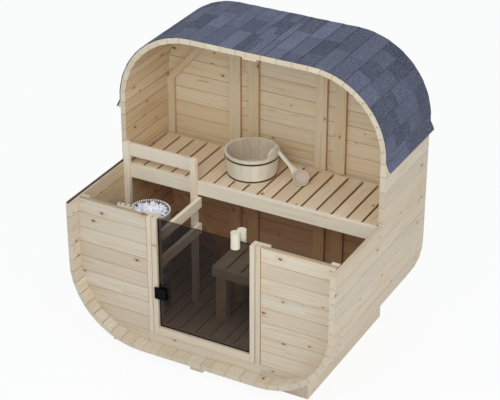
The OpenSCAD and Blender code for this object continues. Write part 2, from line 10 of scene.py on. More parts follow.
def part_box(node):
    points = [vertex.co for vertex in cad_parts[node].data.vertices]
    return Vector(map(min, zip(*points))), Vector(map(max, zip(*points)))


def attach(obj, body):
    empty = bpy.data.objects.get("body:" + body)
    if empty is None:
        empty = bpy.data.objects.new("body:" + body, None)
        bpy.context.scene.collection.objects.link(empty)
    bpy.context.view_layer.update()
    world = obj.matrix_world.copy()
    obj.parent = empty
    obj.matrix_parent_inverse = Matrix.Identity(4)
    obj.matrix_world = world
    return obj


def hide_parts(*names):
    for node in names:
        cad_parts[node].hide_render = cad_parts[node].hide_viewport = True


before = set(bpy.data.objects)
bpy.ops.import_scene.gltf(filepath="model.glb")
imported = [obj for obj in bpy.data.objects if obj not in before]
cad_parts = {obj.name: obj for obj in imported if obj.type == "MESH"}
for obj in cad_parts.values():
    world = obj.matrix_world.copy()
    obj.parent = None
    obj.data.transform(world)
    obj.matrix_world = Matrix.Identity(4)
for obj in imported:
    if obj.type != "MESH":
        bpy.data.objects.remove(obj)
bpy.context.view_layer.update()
RNG = random.Random(23)
RIGHT = Vector((1, 0, 0))
DEEP = Vector((0, 1, 0))
UP = Vector((0, 0, 1))
FULL_TURN = 2 * math.pi

# Sizes of the shell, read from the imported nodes, in metres.
WALL_LO, WALL_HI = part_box("right_lower_wall")
CEIL_LO, CEIL_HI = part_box("ceiling_staves")
FLOOR_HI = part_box("floor_staves")[1]
GLASS_LO, GLASS_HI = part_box("door_glass")
BENCH_LO, BENCH_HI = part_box("upper_bench_slats")
X_OUT = WALL_HI[0]
X_IN = WALL_LO[0]
STAVE = X_OUT - X_IN
Y_FRONT = WALL_LO[1]
Y_BACK = WALL_HI[1]
Y_CUT = CEIL_LO[1]
Z_CUT = WALL_HI[2]
FLAT_X = FLOOR_HI[0]
FLOOR_TOP = FLOOR_HI[2]
CEIL_BASE = CEIL_LO[2]
SPRING_LOW = WALL_LO[2]
SPRING_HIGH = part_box("right_upper_wall")[1][2]
INNER_R = X_IN - FLAT_X
OUTER_R = X_OUT - FLAT_X
ARC = INNER_R * math.pi / 2
HALF_LOOP = 2 * FLAT_X + 2 * ARC + SPRING_HIGH - SPRING_LOW
FRONT_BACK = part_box("front_wall_left")[1][1]
BACK_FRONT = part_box("back_wall_left")[0][1]
BENCH_TOP = BENCH_HI[2]
BENCH_FRONT = BENCH_LO[1]

# Zones of the finish: the rim of the staves, the bare joints near the floor, the solids at the back wall.
RIM_DEPTH = 0.05
BARE_TOP = FLOOR_TOP + 0.2
REAR_ZONE = 0.15

# Seams between staves, in metres from the middle of the floor and from the foot of the frame.
COVER = 0.11875
FLOOR_COVER = 0.119
FLOOR_EDGE = 0.455
FLOOR_SEAMS = [-FLOOR_EDGE + FLOOR_COVER * k for k in range(5)]
FLOOR_SEAMS += [FLOOR_EDGE - FLOOR_COVER * k for k in (3, 2, 1, 0)]
CURVE_STAVES = 10
SEAM_RISE = 0.026
SIDE_SEAM = SPRING_LOW + SEAM_RISE
SIDE_SEAM_TOP = SPRING_HIGH - SEAM_RISE

# Tongue and groove of a board: lengths in metres, and shares of its thickness or of the chamfer.
JOINT_GAP = 0.0007
WALL_JOINT = 0.001
FLOOR_JOINT = 0.006
END_GAP = 0.003
CHAMFER = 0.0036
TONGUE = 0.0085
TONGUE_LOW = 0.36
TONGUE_HIGH = 0.64
TONGUE_SLIM = 0.02
FINE_SEAM = 0.3
WIDE_SEAM = 0.85
SEAM_WAVE = 41.0

# Numbers of the materials on a stave, after its own one, and on a wall board.
END_GRAIN, INSIDE, NEAR_FLOOR, SEAM, JOINT = range(1, 6)
BOARD_SEAM, BOARD_SHADED, BOARD_JOINT = range(1, 4)


# Nodes of the materials.

def paint(red, green, blue):
    """A colour written as it looks on screen, from 0 to 255, as the linear colour that shaders take."""
    out = []
    for level in (red, green, blue):
        part = level / 255
        out.append(part / 12.92 if part <= 0.04045 else ((part + 0.055) / 1.055) ** 2.4)
    return (*out, 1.0)


class Nodes:
    """A node tree, with short calls for the nodes that the materials are made of."""

    def __init__(self, tree):
        self.tree = tree

    def feed(self, socket, value):
        """Links an input to another node, or sets its value."""
        if isinstance(value, bpy.types.NodeSocket):
            self.tree.links.new(value, socket)
        else:
            socket.default_value = value

    def add(self, kind, ins=None, **props):
        """One shader node, with its properties set and its inputs fed."""
        node = self.tree.nodes.new("ShaderNode" + kind)
        for key, value in props.items():
            setattr(node, key, value)
        for key, value in (ins or {}).items():
            self.feed(node.inputs[key], value)
        return node

    def calc(self, operation, first, second=0.0, third=0.0):
        """The result of one math node."""
        return self.add("Math", {0: first, 1: second, 2: third}, operation=operation).outputs[0]

    def times(self, first, second):
        """The product of two values."""
        return self.calc("MULTIPLY", first, second)

    def line(self, value, slope, start):
        """A value times a slope, plus a start."""
        return self.calc("MULTIPLY_ADD", value, slope, start)

    def stretch(self, vector, factors):
        """A vector scaled along each axis."""
        return self.add("VectorMath", {0: vector, 1: factors}, operation="MULTIPLY").outputs[0]

    def length(self, vector):
        """The length of a vector."""
        return self.add("VectorMath", {0: vector}, operation="LENGTH").outputs["Value"]

    def axis(self, vector, number):
        """One coordinate of a vector."""
        return self.add("SeparateXYZ", {0: vector}).outputs[number]

    def fade(self, value, low, high, at_low=0.0, at_high=1.0):
        """A smooth step of a value between two limits."""
        ins = {"Value": value, "From Min": low, "From Max": high, "To Min": at_low, "To Max": at_high}
        return self.add("MapRange", ins, interpolation_type="SMOOTHSTEP").outputs[0]

    def mix(self, share, first, second, kind="MIX"):
        """Two colours mixed."""
        ins = {0: share, 6: first, 7: second}
        return self.add("Mix", ins, data_type="RGBA", blend_type=kind).outputs[2]

    def cloud(self, vector, scale, detail=2.0, rough=0.5):
        """The value of a noise texture."""
        ins = {"Vector": vector, "Scale": scale, "Detail": detail, "Roughness": rough}
        return self.add("TexNoise", ins).outputs[0]

    def carried(self, name, output="Fac"):
        """A value that the points of the mesh carry."""
        return self.add("Attribute", attribute_name=name).outputs[output]

    def place(self):
        """The place of a surface point in its own object, in metres."""
        return self.add("TexCoord").outputs["Object"]

    def bump(self, height, strength, distance):
        """The normals of a bumpy surface."""
        ins = {"Height": height, "Strength": strength, "Distance": distance}
        return self.add("Bump", ins).outputs[0]

    def seen_directly(self):
        """1 for rays from the camera, also after glass or a glossy surface."""
        path = self.add("LightPath").outputs
        seen = self.calc("MAXIMUM", path["Is Camera Ray"], path["Is Glossy Ray"])
        return self.calc("MAXIMUM", seen, path["Is Transmission Ray"])


class Coat(Nodes):
    """A new material with its nodes and its main shader."""

    def __init__(self, name):
        self.mat = bpy.data.materials.new(name)
        self.mat.use_nodes = True
        super().__init__(self.mat.node_tree)
        self.shader = self.tree.nodes["Principled BSDF"]

    def finish(self, ins):
        """The material, once the inputs of its shader are fed."""
        for key, value in ins.items():
            self.feed(self.shader.inputs[key], value)
        return self.mat


# Materials.

# Tints that paint shade: under the bench, and towards the back of the floor. The wall tint browns the foot
# of the back wall.
SHADE_TINT = (0.98, 0.77, 0.62, 1.0)
FLOOR_SHADE_TINT = (0.42, 0.4, 0.4, 1.0)
WALL_TINT = (1.0, 0.965, 0.915, 1.0)
KNOT_STEP = 0.36
KNOT_BAND = 0.085
KNOT_LONG = 0.58
KNOT_R = 0.004
KNOT_R_SPAN = 0.0075
RINGS_PER_M = 120.0
# A tone this low paints shade: the shadow lines along the felt tabs, and the dark core and chips among the
# stones.
SHADE_TONE = -1.0
SHADE_BELOW = -0.5


def knots(coat, grain, share):
    """The knots of a board: the knot, the halo round it, and the distance from it in knot radii."""
    at = coat.stretch(grain, (1 / KNOT_STEP, 1 / KNOT_BAND, 0.0))
    cell = coat.add("TexVoronoi", {"Vector": at, "Scale": 1.0}, voronoi_dimensions="2D").outputs
    away = coat.add("VectorMath", {0: at, 1: cell["Position"]}, operation="SUBTRACT").outputs[0]
    far = coat.length(coat.stretch(away, (KNOT_STEP * KNOT_LONG, KNOT_BAND, 0.0)))
    luck = coat.add("SeparateColor", {0: cell["Color"]}).outputs
    there = coat.calc("GREATER_THAN", luck[0], 1 - share)
    radii = coat.calc("DIVIDE", far, coat.line(luck[1], KNOT_R_SPAN, KNOT_R))
    knot = coat.times(coat.fade(radii, 0.5, 1.2, 1.0, 0.0), there)
    halo = coat.times(coat.fade(radii, 0.8, 3.6, 1.0, 0.0), there)
    return knot, halo, radii


def spruce(name, pale, deep, knot_share, rough=0.6, tint_below=None, tint_behind=None, fade_run=0.12,
           fade_rise=0.06, tint=SHADE_TINT):
    """Sawn spruce: year rings about a pith, fibres and amber streaks along the board, and brown knots.

    Below a height, or only behind a depth too, it can take a tint: painted shade, as under the bench, or a
    browner foot of the back wall.
    """
    coat = Coat(name)
    grain = coat.carried("grain", "Vector")
    tone = coat.carried("tone")
    knot, halo, radii = knots(coat, grain, knot_share)

    def drawn(along, across, detail=2.0, broken=0.5):
        """Noise that is drawn out along the board."""
        return coat.cloud(coat.stretch(grain, (along, across, across)), 1.0, detail, broken)

    streak = drawn(1.6, 46.0, 3.0, 0.6)
    fibre = drawn(14.0, 420.0)
    patch = drawn(2.2, 9.0)
    from_pith = coat.length(coat.stretch(grain, (0.0, 1.0, 1.0)))
    ring_r = coat.line(halo, 0.006, coat.line(drawn(1.1, 7.0), 0.022, from_pith))
    ring = coat.calc("FRACT", coat.times(ring_r, RINGS_PER_M))
    late = coat.times(coat.fade(ring, 0.35, 0.9), coat.fade(ring, 0.9, 1.0, 1.0, 0.0))

    dark = 0.0
    for value, share in ((late, 0.32), (coat.fade(streak, 0.5, 0.74), 0.5),
                         (coat.fade(patch, 0.5, 0.8), 0.2), (fibre, 0.14), (halo, 0.35)):
        dark = coat.line(value, share, dark)
    colour = coat.mix(dark, paint(*pale), paint(*deep))
    colour = coat.mix(coat.fade(tone, 0.0, 1.0, 0.0, 0.3), colour, paint(*deep))
    amber = coat.times(coat.fade(drawn(5.0, 75.0), 0.62, 0.74), coat.fade(patch, 0.42, 0.58))
    colour = coat.mix(coat.times(amber, 0.5), colour, paint(178, 128, 72))
    bright = coat.line(coat.calc("FRACT", coat.times(tone, 7.31)), 0.1, 0.945)
    colour = coat.mix(1.0, colour, bright, "MULTIPLY")
    knot_colour = coat.mix(coat.fade(radii, 0.2, 0.9), paint(116, 70, 36), paint(92, 54, 28))
    colour = coat.mix(coat.times(knot, 0.88), colour, knot_colour)
    # Below a height, and behind a depth when one is given, the colour takes the tint: mostly painted shade.
    if tint_below is not None:
        place = coat.place()
        tint_share = coat.fade(coat.axis(place, 2), tint_below - fade_rise, tint_below, 1.0, 0.0)
        if tint_behind is not None:
            behind = coat.fade(coat.axis(place, 1), tint_behind, tint_behind + fade_run)
            tint_share = coat.times(tint_share, behind)
        colour = coat.mix(tint_share, colour, tint, "MULTIPLY")
    return coat.finish({
        "Base Color": colour, "Specular IOR Level": 0.2,
        "Roughness": coat.fade(fibre, 0.2, 0.8, rough - 0.06, rough + 0.08),
        "Normal": coat.bump(coat.line(late, 0.6, fibre), 0.22, 0.0012)})


def slate_felt(name):
    """Mineral felt shingles: slate blue granules, each tab in its own shade."""
    coat = Coat(name)
    tone = coat.carried("tone")
    at = coat.carried("grain", "Vector")
    grit = coat.cloud(at, 150.0, 2.0, 0.7)
    fine = coat.cloud(at, 620.0, 1.0)
    wide = coat.cloud(at, 7.0, 3.0)
    colour = coat.mix(tone, paint(66, 69, 83), paint(116, 120, 141))
    # The last layer paints the dark strips at the tabs' lower edges: a painted shadow line.
    for share, shade in ((coat.fade(grit, 0.5, 0.66, 0.0, 0.5), paint(154, 159, 182)),
                         (coat.fade(grit, 0.34, 0.5, 0.6, 0.0), paint(31, 33, 43)),
                         (coat.fade(fine, 0.55, 0.7, 0.0, 0.3), paint(160, 164, 182)),
                         (coat.fade(wide, 0.45, 0.75, 0.0, 0.2), paint(58, 60, 74)),
                         (coat.calc("LESS_THAN", tone, SHADE_BELOW), paint(62, 65, 80))):
        colour = coat.mix(share, colour, shade)
    return coat.finish({
        "Base Color": colour, "Specular IOR Level": 0.2,
        "Roughness": coat.fade(grit, 0.3, 0.7, 0.82, 0.95), "Normal": coat.bump(grit, 0.6, 0.003)})


def smoked_glass(name, foot, head):
    """Grey-brown tinted glass, a little darker towards its head and uneven in its gloss."""
    coat = Coat(name)
    at = coat.place()
    smear = coat.cloud(at, 6.0, 3.0)
    depth = coat.line(smear, 0.2, coat.fade(coat.axis(at, 2), foot, head, 0.0, 0.8))
    return coat.finish({
        "Base Color": coat.mix(depth, paint(159, 151, 148), paint(134, 128, 127)),
        "Roughness": coat.fade(smear, 0.4, 0.8, 0.0, 0.002), "Transmission Weight": 1.0, "IOR": 1.16})


def black_steel(name):
    """Powder coated black steel with a fine orange peel."""
    coat = Coat(name)
    at = coat.place()
    wear = coat.cloud(at, 60.0, 4.0)
    return coat.finish({
        "Base Color": coat.mix(coat.fade(wear, 0.45, 0.8), paint(4, 4, 4), paint(11, 11, 11)),
        "Roughness": coat.fade(wear, 0.3, 0.8, 0.42, 0.58), "Specular IOR Level": 0.06,
        "Normal": coat.bump(coat.cloud(at, 900.0), 0.2, 0.0006)})


def bright_steel(name, light, shade, metal):
    """Brushed steel with small changes of gloss."""
    coat = Coat(name)
    brush = coat.cloud(coat.stretch(coat.place(), (40.0, 40.0, 900.0)), 1.0, 3.0)
    return coat.finish({
        "Base Color": coat.mix(brush, paint(*light), paint(*shade)), "Metallic": metal,
        "Roughness": coat.fade(brush, 0.2, 0.8, 0.24, 0.42), "Normal": coat.bump(brush, 0.12, 0.0005)})


def pale_stone(name):
    """Pale blue-white heater stones with grey veins and a rough skin."""
    coat = Coat(name)
    at = coat.place()
    tone = coat.carried("tone")
    vein = coat.cloud(at, 55.0, 5.0, 0.65)
    pit = coat.cloud(at, 260.0, 3.0)
    colour = coat.mix(tone, paint(226, 229, 242), paint(248, 249, 253))
    colour = coat.mix(coat.fade(vein, 0.52, 0.72, 0.0, 0.5), colour, paint(142, 150, 176))
    # Painted shade: a dark slate blue on the core and on the dark chips between the stones.
    colour = coat.mix(coat.calc("LESS_THAN", tone, SHADE_BELOW), colour, paint(58, 70, 104))
    return coat.finish({
        "Base Color": colour, "Roughness": coat.fade(pit, 0.3, 0.7, 0.7, 0.9),
        "Normal": coat.bump(coat.calc("ADD", vein, pit), 0.4, 0.004)})


MAT_SHELL = spruce("spruce_staves", (216, 206, 188), (197, 172, 136), 0.2)
MAT_RIM = spruce("spruce_end_grain", (214, 204, 185), (199, 178, 146), 0.0)
MAT_WARM = spruce("spruce_warm_staves", (217, 198, 170), (196, 162, 115), 0.4)
# Painted shade: the left wall is browner below the bench, behind its front.
MAT_LEFT = spruce("spruce_left_wall", (217, 198, 170), (196, 162, 115), 0.24,
                  tint_below=BENCH_TOP - 0.05, tint_behind=BENCH_FRONT)
MAT_BACK = spruce("spruce_back", (222, 209, 185), (203, 178, 132), 0.34,
                  tint_below=BENCH_TOP + 0.4, fade_rise=0.36, tint=WALL_TINT)
# Painted shade: the floor darkens from near the door towards the back.
MAT_FLOOR = spruce("spruce_floor", (240, 228, 208), (222, 200, 164), 0.1,
                   tint_below=BENCH_TOP, tint_behind=Y_FRONT + 0.2, fade_run=0.75, tint=FLOOR_SHADE_TINT)
# Brown joints; also painted shade on the door trims' sides and in the open top grooves.
MAT_JOINT_AND_SHADE = spruce("spruce_joints_and_shade", (182, 149, 108), (158, 124, 84), 0.0)
MAT_SEAM = spruce("spruce_seams", (207, 190, 161), (189, 163, 124), 0.0)
# Painted shade: the brown of the wood in the shade under the bench and behind the heater.
MAT_PAINTED_SHADE = spruce("spruce_painted_shade", (212, 174, 142), (191, 140, 99), 0.2)
MAT_BENCH = spruce("spruce_bench", (231, 215, 190), (213, 183, 141), 0.05, 0.55)
# Painted shade: browner sides for the gaps between the slats, and for the shadow beside the back battens.
MAT_SIDE_SHADE = spruce("spruce_painted_side_shade", (212, 174, 130), (190, 146, 100), 0.0)
MAT_FRAME = spruce("spruce_frame", (219, 209, 191), (203, 182, 149), 0.05, 0.55)
MAT_BASE = spruce("spruce_base", (230, 219, 200), (212, 191, 158), 0.08, 0.55)
# Painted shade: the battens are browner below the bench.
MAT_BATTEN = spruce("spruce_battens", (217, 202, 174), (197, 168, 122), 0.12, 0.55, BENCH_TOP - 0.04)
MAT_RAIL = spruce("spruce_planed", (247, 238, 220), (231, 213, 182), 0.0, 0.55)
MAT_TUB = spruce("spruce_tub", (228, 221, 204), (213, 200, 172), 0.0, 0.5)
# Painted shade: darker wood inside the bucket below the rim and in the ladle's hollow.
MAT_INNER_SHADE = spruce("spruce_inner_shade", (208, 195, 178), (186, 167, 142), 0.0, 0.5)
# Dark brown for the joints near the floor; also painted shade in the left wall's open groove and in the vent
# bores.
MAT_GROOVE_AND_SHADE = spruce("spruce_groove_and_shade", (96, 84, 64), (74, 62, 44), 0.0)
MAT_FELT = slate_felt("slate_felt")
MAT_GLASS = smoked_glass("smoked_glass", GLASS_LO[2], GLASS_HI[2])
MAT_BLACK = black_steel("black_steel")
MAT_BRIGHT = bright_steel("bright_steel", (206, 200, 191), (168, 162, 152), 0.6)
# Painted highlight: the rod tips are nearly white and little metallic, for the bright beads round the rim.
MAT_TIP_HIGHLIGHT = bright_steel("rod_tip_highlight", (246, 245, 243), (226, 225, 224), 0.1)
MAT_NAIL = bright_steel("nail_steel", (132, 126, 143), (100, 95, 110), 0.2)
MAT_HOOP = bright_steel("hoop_steel", (118, 98, 62), (66, 54, 34), 0.6)
# Painted light: the heater legs are a pale steel, far lighter than black, so in the shade behind the glass
# they match the floor.
MAT_LEG_PAINTED_LIGHT = bright_steel("leg_steel_painted_light", (190, 177, 160), (152, 141, 127), 0.3)
MAT_STONE = pale_stone("pale_stone")


# Mesh helpers.

def even(first, last, count):
    """Evenly spaced values with both ends."""
    return [first + (last - first) * i / count for i in range(count + 1)]


def polar(radius, angle, z):
    """A point about the upright axis."""
    return Vector((radius * math.cos(angle), radius * math.sin(angle), z))


def quads(low, high, closed=True):
    """The faces between two rows of point numbers."""
    count = len(low)
    steps = count if closed else count - 1
    return [[low[i], low[(i + 1) % count], high[(i + 1) % count], high[i]] for i in range(steps)]


def face_cross(points, face):
    """The cross product of a face's first two edges, which is along its normal."""
    first, second, third = (points[i] for i in face[:3])
    return (second - first).cross(third - first)


class Stock:
    """Faces for one piece, with the grain place and the shade of each board in it."""

    def __init__(self):
        self.points = []
        self.faces = []
        self.finish = []
        self.grain = []
        self.tone = []

    def draw(self):
        """The random place of a board in its tree: start, pith across, pith depth, slope and shade."""
        side = RNG.choice((-1, 1))
        return (RNG.uniform(0, 40), RNG.uniform(-0.035, 0.035), side * RNG.uniform(0.02, 0.09),
                RNG.uniform(-0.012, 0.012), RNG.random())

    def add(self, points, faces, along, across, luck=None, finish=None):
        """Adds one board. The grain runs along one direction, and across is the face's other direction.

        The finish is the number of each face's material, 0 where it isn't given.
        """
        start, pith_v, pith_w, slope, tone = luck or self.draw()
        depth = along.cross(across)
        middle = sum(points, Vector()) / len(points)
        first = len(self.points)
        for point in points:
            rel = point - middle
            run = point.dot(along)
            self.grain.append((run + start, rel.dot(across) - pith_v + 3 * slope * run,
                               rel.dot(depth) - pith_w + slope * run))
            self.tone.append(tone)
        self.points.extend(points)
        self.faces.extend([first + i for i in face] for face in faces)
        self.finish.extend(finish or [0] * len(faces))

    def bar(self, rings, along, across, luck=None, ends=(0, 0), edges=None, lining=None, lined=()):
        """Adds a closed bar through rings of points.

        Its two ends take the materials numbered in ends. Edges and lining give the numbers of the strips
        that start at a point of the ring, the lining only on the lined lengths.
        """
        edges = edges or {}
        lining = lining or {}
        count = len(rings[0])
        rows = [range(base, base + count) for base in range(0, count * len(rings), count)]
        faces = [list(rows[0])[::-1], list(rows[-1])]
        finish = list(ends)
        for k, (low, high) in enumerate(zip(rows, rows[1:])):
            faces += quads(low, high)
            inner = lining if k in lined else {}
            finish += [edges.get(i, inner.get(i, 0)) for i in range(count)]
        self.add([p for ring in rings for p in ring], faces, along, across, luck, finish)

    def make(self, name, material, slot, nodes=(), body="cabin", smooth=None, more=()):
        """The piece from what was added, riding on a body and standing for nodes.

        The material is number 0 of its faces' materials, and more are the next ones.
        """
        mesh = bpy.data.meshes.new(name)
        mesh.from_pydata([tuple(p) for p in self.points], [], self.faces)
        layer = mesh.attributes.new("grain", "FLOAT_VECTOR", "POINT")
        layer.data.foreach_set("vector", [value for row in self.grain for value in row])
        mesh.attributes.new("tone", "FLOAT", "POINT").data.foreach_set("value", self.tone)
        for one in (material, *more):
            mesh.materials.append(one)
        if more:
            mesh.polygons.foreach_set("material_index", self.finish)
        work = bmesh.new()
        work.from_mesh(mesh)
        bmesh.ops.recalc_face_normals(work, faces=work.faces)
        work.to_mesh(mesh)
        work.free()
        if smooth is not None:
            mesh.shade_smooth()
            mesh.set_sharp_from_angle(angle=math.radians(smooth))
        piece = bpy.data.objects.new(name, mesh)
        bpy.context.scene.collection.objects.link(piece)
        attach(piece, body)
        if nodes:
            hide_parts(*nodes)


def node_solids(node, merge=True):
    """The separate solids of a CAD node as small meshes: points and faces of each, flat faces merged."""
    work = bmesh.new()
    work.from_mesh(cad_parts[node].data)
    bmesh.ops.remove_doubles(work, verts=work.verts, dist=1e-5)
    if merge:
        bmesh.ops.dissolve_limit(work, angle_limit=math.radians(0.6), verts=work.verts, edges=work.edges)
    work.verts.ensure_lookup_table()
    seen = set()
    solids = []
    for vert in work.verts:
        if vert.index in seen:
            continue
        group = []
        todo = [vert]
        seen.add(vert.index)
        while todo:
            here = todo.pop()
            group.append(here)
            for edge in here.link_edges:
                other = edge.other_vert(here)
                if other.index not in seen:
                    seen.add(other.index)
                    todo.append(other)
        order = {v.index: i for i, v in enumerate(group)}
        faces = {f for v in group for f in v.link_faces}
        rows = sorted([order[v.index] for v in f.verts] for f in faces)
        solids.append(([v.co.copy() for v in group], rows))
    work.free()
    solids.sort(key=lambda s: tuple(round(c, 4) for c in min(tuple(p) for p in s[0])))
    return solids


def soften(points, faces, width):
    """The same solid with its sharp edges rounded."""
    sharp_angle = math.radians(25)
    work = bmesh.new()
    verts = [work.verts.new(p) for p in points]
    for face in faces:
        work.faces.new([verts[i] for i in face])
    bmesh.ops.recalc_face_normals(work, faces=work.faces)
    sharp = [e for e in work.edges if e.is_manifold and e.calc_face_angle(0.0) > sharp_angle]
    bmesh.ops.bevel(work, geom=sharp, offset=width, segments=2, profile=0.5, affect="EDGES",
                    clamp_overlap=True)
    work.verts.index_update()
    out_points = [v.co.copy() for v in work.verts]
    out_faces = [[v.index for v in f.verts] for f in work.faces]
    work.free()
    return out_points, out_faces


def grain_axes(points, faces):
    """The direction of the longest edge, and the widest direction across it."""
    best = UP
    longest = 0.0
    for face in faces:
        for i, a in enumerate(face):
            step = points[face[i - 1]] - points[a]
            if step.length > longest + 1e-6:
                longest = step.length
                best = step.normalized()
    across = None
    widest = -1.0
    for guess in (RIGHT, DEEP, UP):
        side = guess - best * guess.dot(best)
        if side.length < 0.3:
            continue
        side.normalize()
        spread = [p.dot(side) for p in points]
        if max(spread) - min(spread) > widest:
            widest = max(spread) - min(spread)
            across = side
    return best, across


def dress(node, material, slot, bevel, body="cabin", smooth=20, sides=None, rear=None, lean=0.95):
    """A piece in the shape of a CAD node, with rounded edges and its grain along each solid.

    The solids against the back wall, or the faces that look along X, can have a material of their own. A
    face looks along X where that share of its direction is over lean.
    """
    stock = Stock()
    for points, faces in node_solids(node):
        along, across = grain_axes(points, faces)
        soft_points, soft_faces = soften(points, faces, bevel)
        if rear:
            finish = [int(min(p.y for p in points) > BACK_FRONT - REAR_ZONE)] * len(soft_faces)
        else:
            normals = [face_cross(soft_points, face) for face in soft_faces]
            finish = [int(abs(normal.x) > lean * normal.length) for normal in normals]
        stock.add(soft_points, soft_faces, along, across, None, finish)
    other = sides or rear
    stock.make(node + "_dressed", material, slot, [node], body, smooth, (other,) if other else ())


# Shell of staves.

def loop_point(run):
    """The inner outline at a length from the middle of the floor, up the right side.

    Gives the point and the outward direction there.
    """
    run = run % (2 * HALF_LOOP)
    side = 1.0
    if run > HALF_LOOP:
        run = 2 * HALF_LOOP - run
        side = -1.0
    if run <= FLAT_X:
        x, z, nx, nz = run, FLOOR_TOP, 0.0, -1.0
    elif run <= FLAT_X + ARC:
        turn = (run - FLAT_X) / INNER_R
        nx, nz = math.sin(turn), -math.cos(turn)
        x, z = FLAT_X + INNER_R * nx, SPRING_LOW + INNER_R * nz
    elif run <= HALF_LOOP - FLAT_X - ARC:
        x, z, nx, nz = X_IN, SPRING_LOW + run - FLAT_X - ARC, 1.0, 0.0
    elif run <= HALF_LOOP - FLAT_X:
        turn = (run - (HALF_LOOP - FLAT_X - ARC)) / INNER_R
        nx, nz = math.cos(turn), math.sin(turn)
        x, z = FLAT_X + INNER_R * nx, SPRING_HIGH + INNER_R * nz
    else:
        x, z, nx, nz = HALF_LOOP - run, CEIL_BASE, 0.0, 1.0
    return Vector((side * x, 0, z)), Vector((side * nx, 0, nz))


def side_run(z):
    """The loop length at a height on the right side wall."""
    return FLAT_X + ARC + z - SPRING_LOW


def joint_cut(run):
    """The width of the chamfers at a seam, between the finest and the widest."""
    share = 0.5 + 0.5 * math.sin(SEAM_WAVE * run)
    return CHAMFER * (FINE_SEAM + (WIDE_SEAM - FINE_SEAM) * share)


def stave_ring(run_a, run_b, y, gap):
    """The cross section of one stave at a depth: its groove on the first side, its tongue on the second."""
    at_a, out_a = loop_point(run_a)
    at_b, out_b = loop_point(run_b)
    across = (at_b - at_a).normalized()
    cut_a = joint_cut(run_a)
    cut_b = joint_cut(run_b)
    inner_a = CHAMFER if at_a.z < BARE_TOP else (CHAMFER + cut_a) / 2
    inner_b = CHAMFER if at_b.z < BARE_TOP else (CHAMFER + cut_b) / 2
    groove = ((0.0, inner_a), (inner_a / STAVE, gap), (TONGUE_LOW, gap), (TONGUE_LOW, TONGUE + gap),
              (TONGUE_HIGH, TONGUE + gap), (TONGUE_HIGH, gap), (1 - cut_a / STAVE, gap), (1.0, cut_a))
    low = TONGUE_LOW + TONGUE_SLIM
    high = TONGUE_HIGH - TONGUE_SLIM
    tongue = ((0.0, -inner_b), (inner_b / STAVE, 0.0), (low, 0.0), (low + TONGUE_SLIM, TONGUE),
              (high - TONGUE_SLIM, TONGUE), (high, 0.0), (1 - cut_b / STAVE, 0.0), (1.0, -cut_b))
    ring = [at_a + out_a * (t * STAVE) + across * shift for t, shift in groove]
    ring += [at_b + out_b * (t * STAVE) + across * shift for t, shift in reversed(tongue)]
    return [p + DEEP * y for p in ring], across


def add_stave(stock, run_a, run_b, y_a, y_b, luck=None, gap=JOINT_GAP):
    """Adds one stave along the depth. Its ends are a little slimmer, so that their seams show."""
    whole = y_a < FRONT_BACK
    rows = ((y_a, END_GAP), (FRONT_BACK if whole else y_a + RIM_DEPTH, gap),
            (min(BACK_FRONT, y_b - RIM_DEPTH), gap), (y_b, END_GAP))
    pairs = [stave_ring(run_a, run_b, y, wide) for y, wide in rows]
    rings = [ring for ring, _ in pairs]
    across = pairs[0][1]
    inner = len(rings[0]) - 1
    middle = len(rings[0]) // 2
    near_floor = loop_point((run_a + run_b) / 2)[0].z < BARE_TOP
    lining = {inner - 1: JOINT, inner: NEAR_FLOOR if near_floor else INSIDE, 0: JOINT}
    edges = {middle - 2: SEAM, middle: SEAM}
    lined = (1, 2) if y_b < BACK_FRONT else (1,)
    if not whole:
        lined = (0, *lined)
    stock.bar(rings, DEEP, across, luck, (END_GRAIN, END_GRAIN), edges, lining, lined)


def staves(seams, y_a, gap=JOINT_GAP):
    """The staves between a row of seams, from a depth to the rear."""
    stock = Stock()
    for run_a, run_b in zip(seams, seams[1:]):
        add_stave(stock, run_a, run_b, y_a, Y_BACK, None, gap)
    return stock


def make_shell(stock, name, node, inside, joint):
    """One piece of staves, with the materials of its inner faces and of the joints between them."""
    stock.make(name, MAT_SHELL, "spruce", [node], more=(MAT_RIM, inside, MAT_FLOOR, MAT_SEAM, joint))


def mirrored(seams):
    """The same seams on the left side of the loop."""
    return [2 * HALF_LOOP - s for s in reversed(seams)]


def build_side(side, turned, inside, low_inside, shoulder):
    """The staves of one side, from the lower curve to the upper one.

    The last stave of the lower wall ends at its shoulder in front of the cut.
    """
    low_curve = even(FLOOR_EDGE, side_run(SIDE_SEAM), CURVE_STAVES)
    high_curve = even(side_run(SIDE_SEAM_TOP), HALF_LOOP - FLOOR_EDGE, CURVE_STAVES)
    low_wall = [side_run(SIDE_SEAM + COVER * k) for k in range(4)]
    rear_top = SIDE_SEAM + COVER * 4
    high_wall = [side_run(rear_top + COVER * k) for k in range(4)] + [side_run(SIDE_SEAM_TOP)]

    def make_part(stock, part, inner, joint):
        """One piece of this side."""
        make_shell(stock, side + part + "_staves", side + part, inner, joint)

    make_part(staves(turned(low_curve), Y_FRONT), "_lower_curve", MAT_PAINTED_SHADE, MAT_GROOVE_AND_SHADE)
    wall = staves(turned(low_wall), Y_FRONT)
    luck = wall.draw()
    for top, y_a, y_b in ((shoulder, Y_FRONT, Y_CUT), (rear_top, Y_CUT, Y_BACK)):
        first, last = turned([low_wall[-1], side_run(top)])
        add_stave(wall, first, last, y_a, y_b, luck)
    make_part(wall, "_lower_wall", low_inside, MAT_JOINT_AND_SHADE)
    make_part(staves(turned(high_wall), Y_CUT), "_upper_wall", inside, MAT_JOINT_AND_SHADE)
    make_part(staves(turned(high_curve), Y_CUT), "_upper_curve", inside, MAT_JOINT_AND_SHADE)


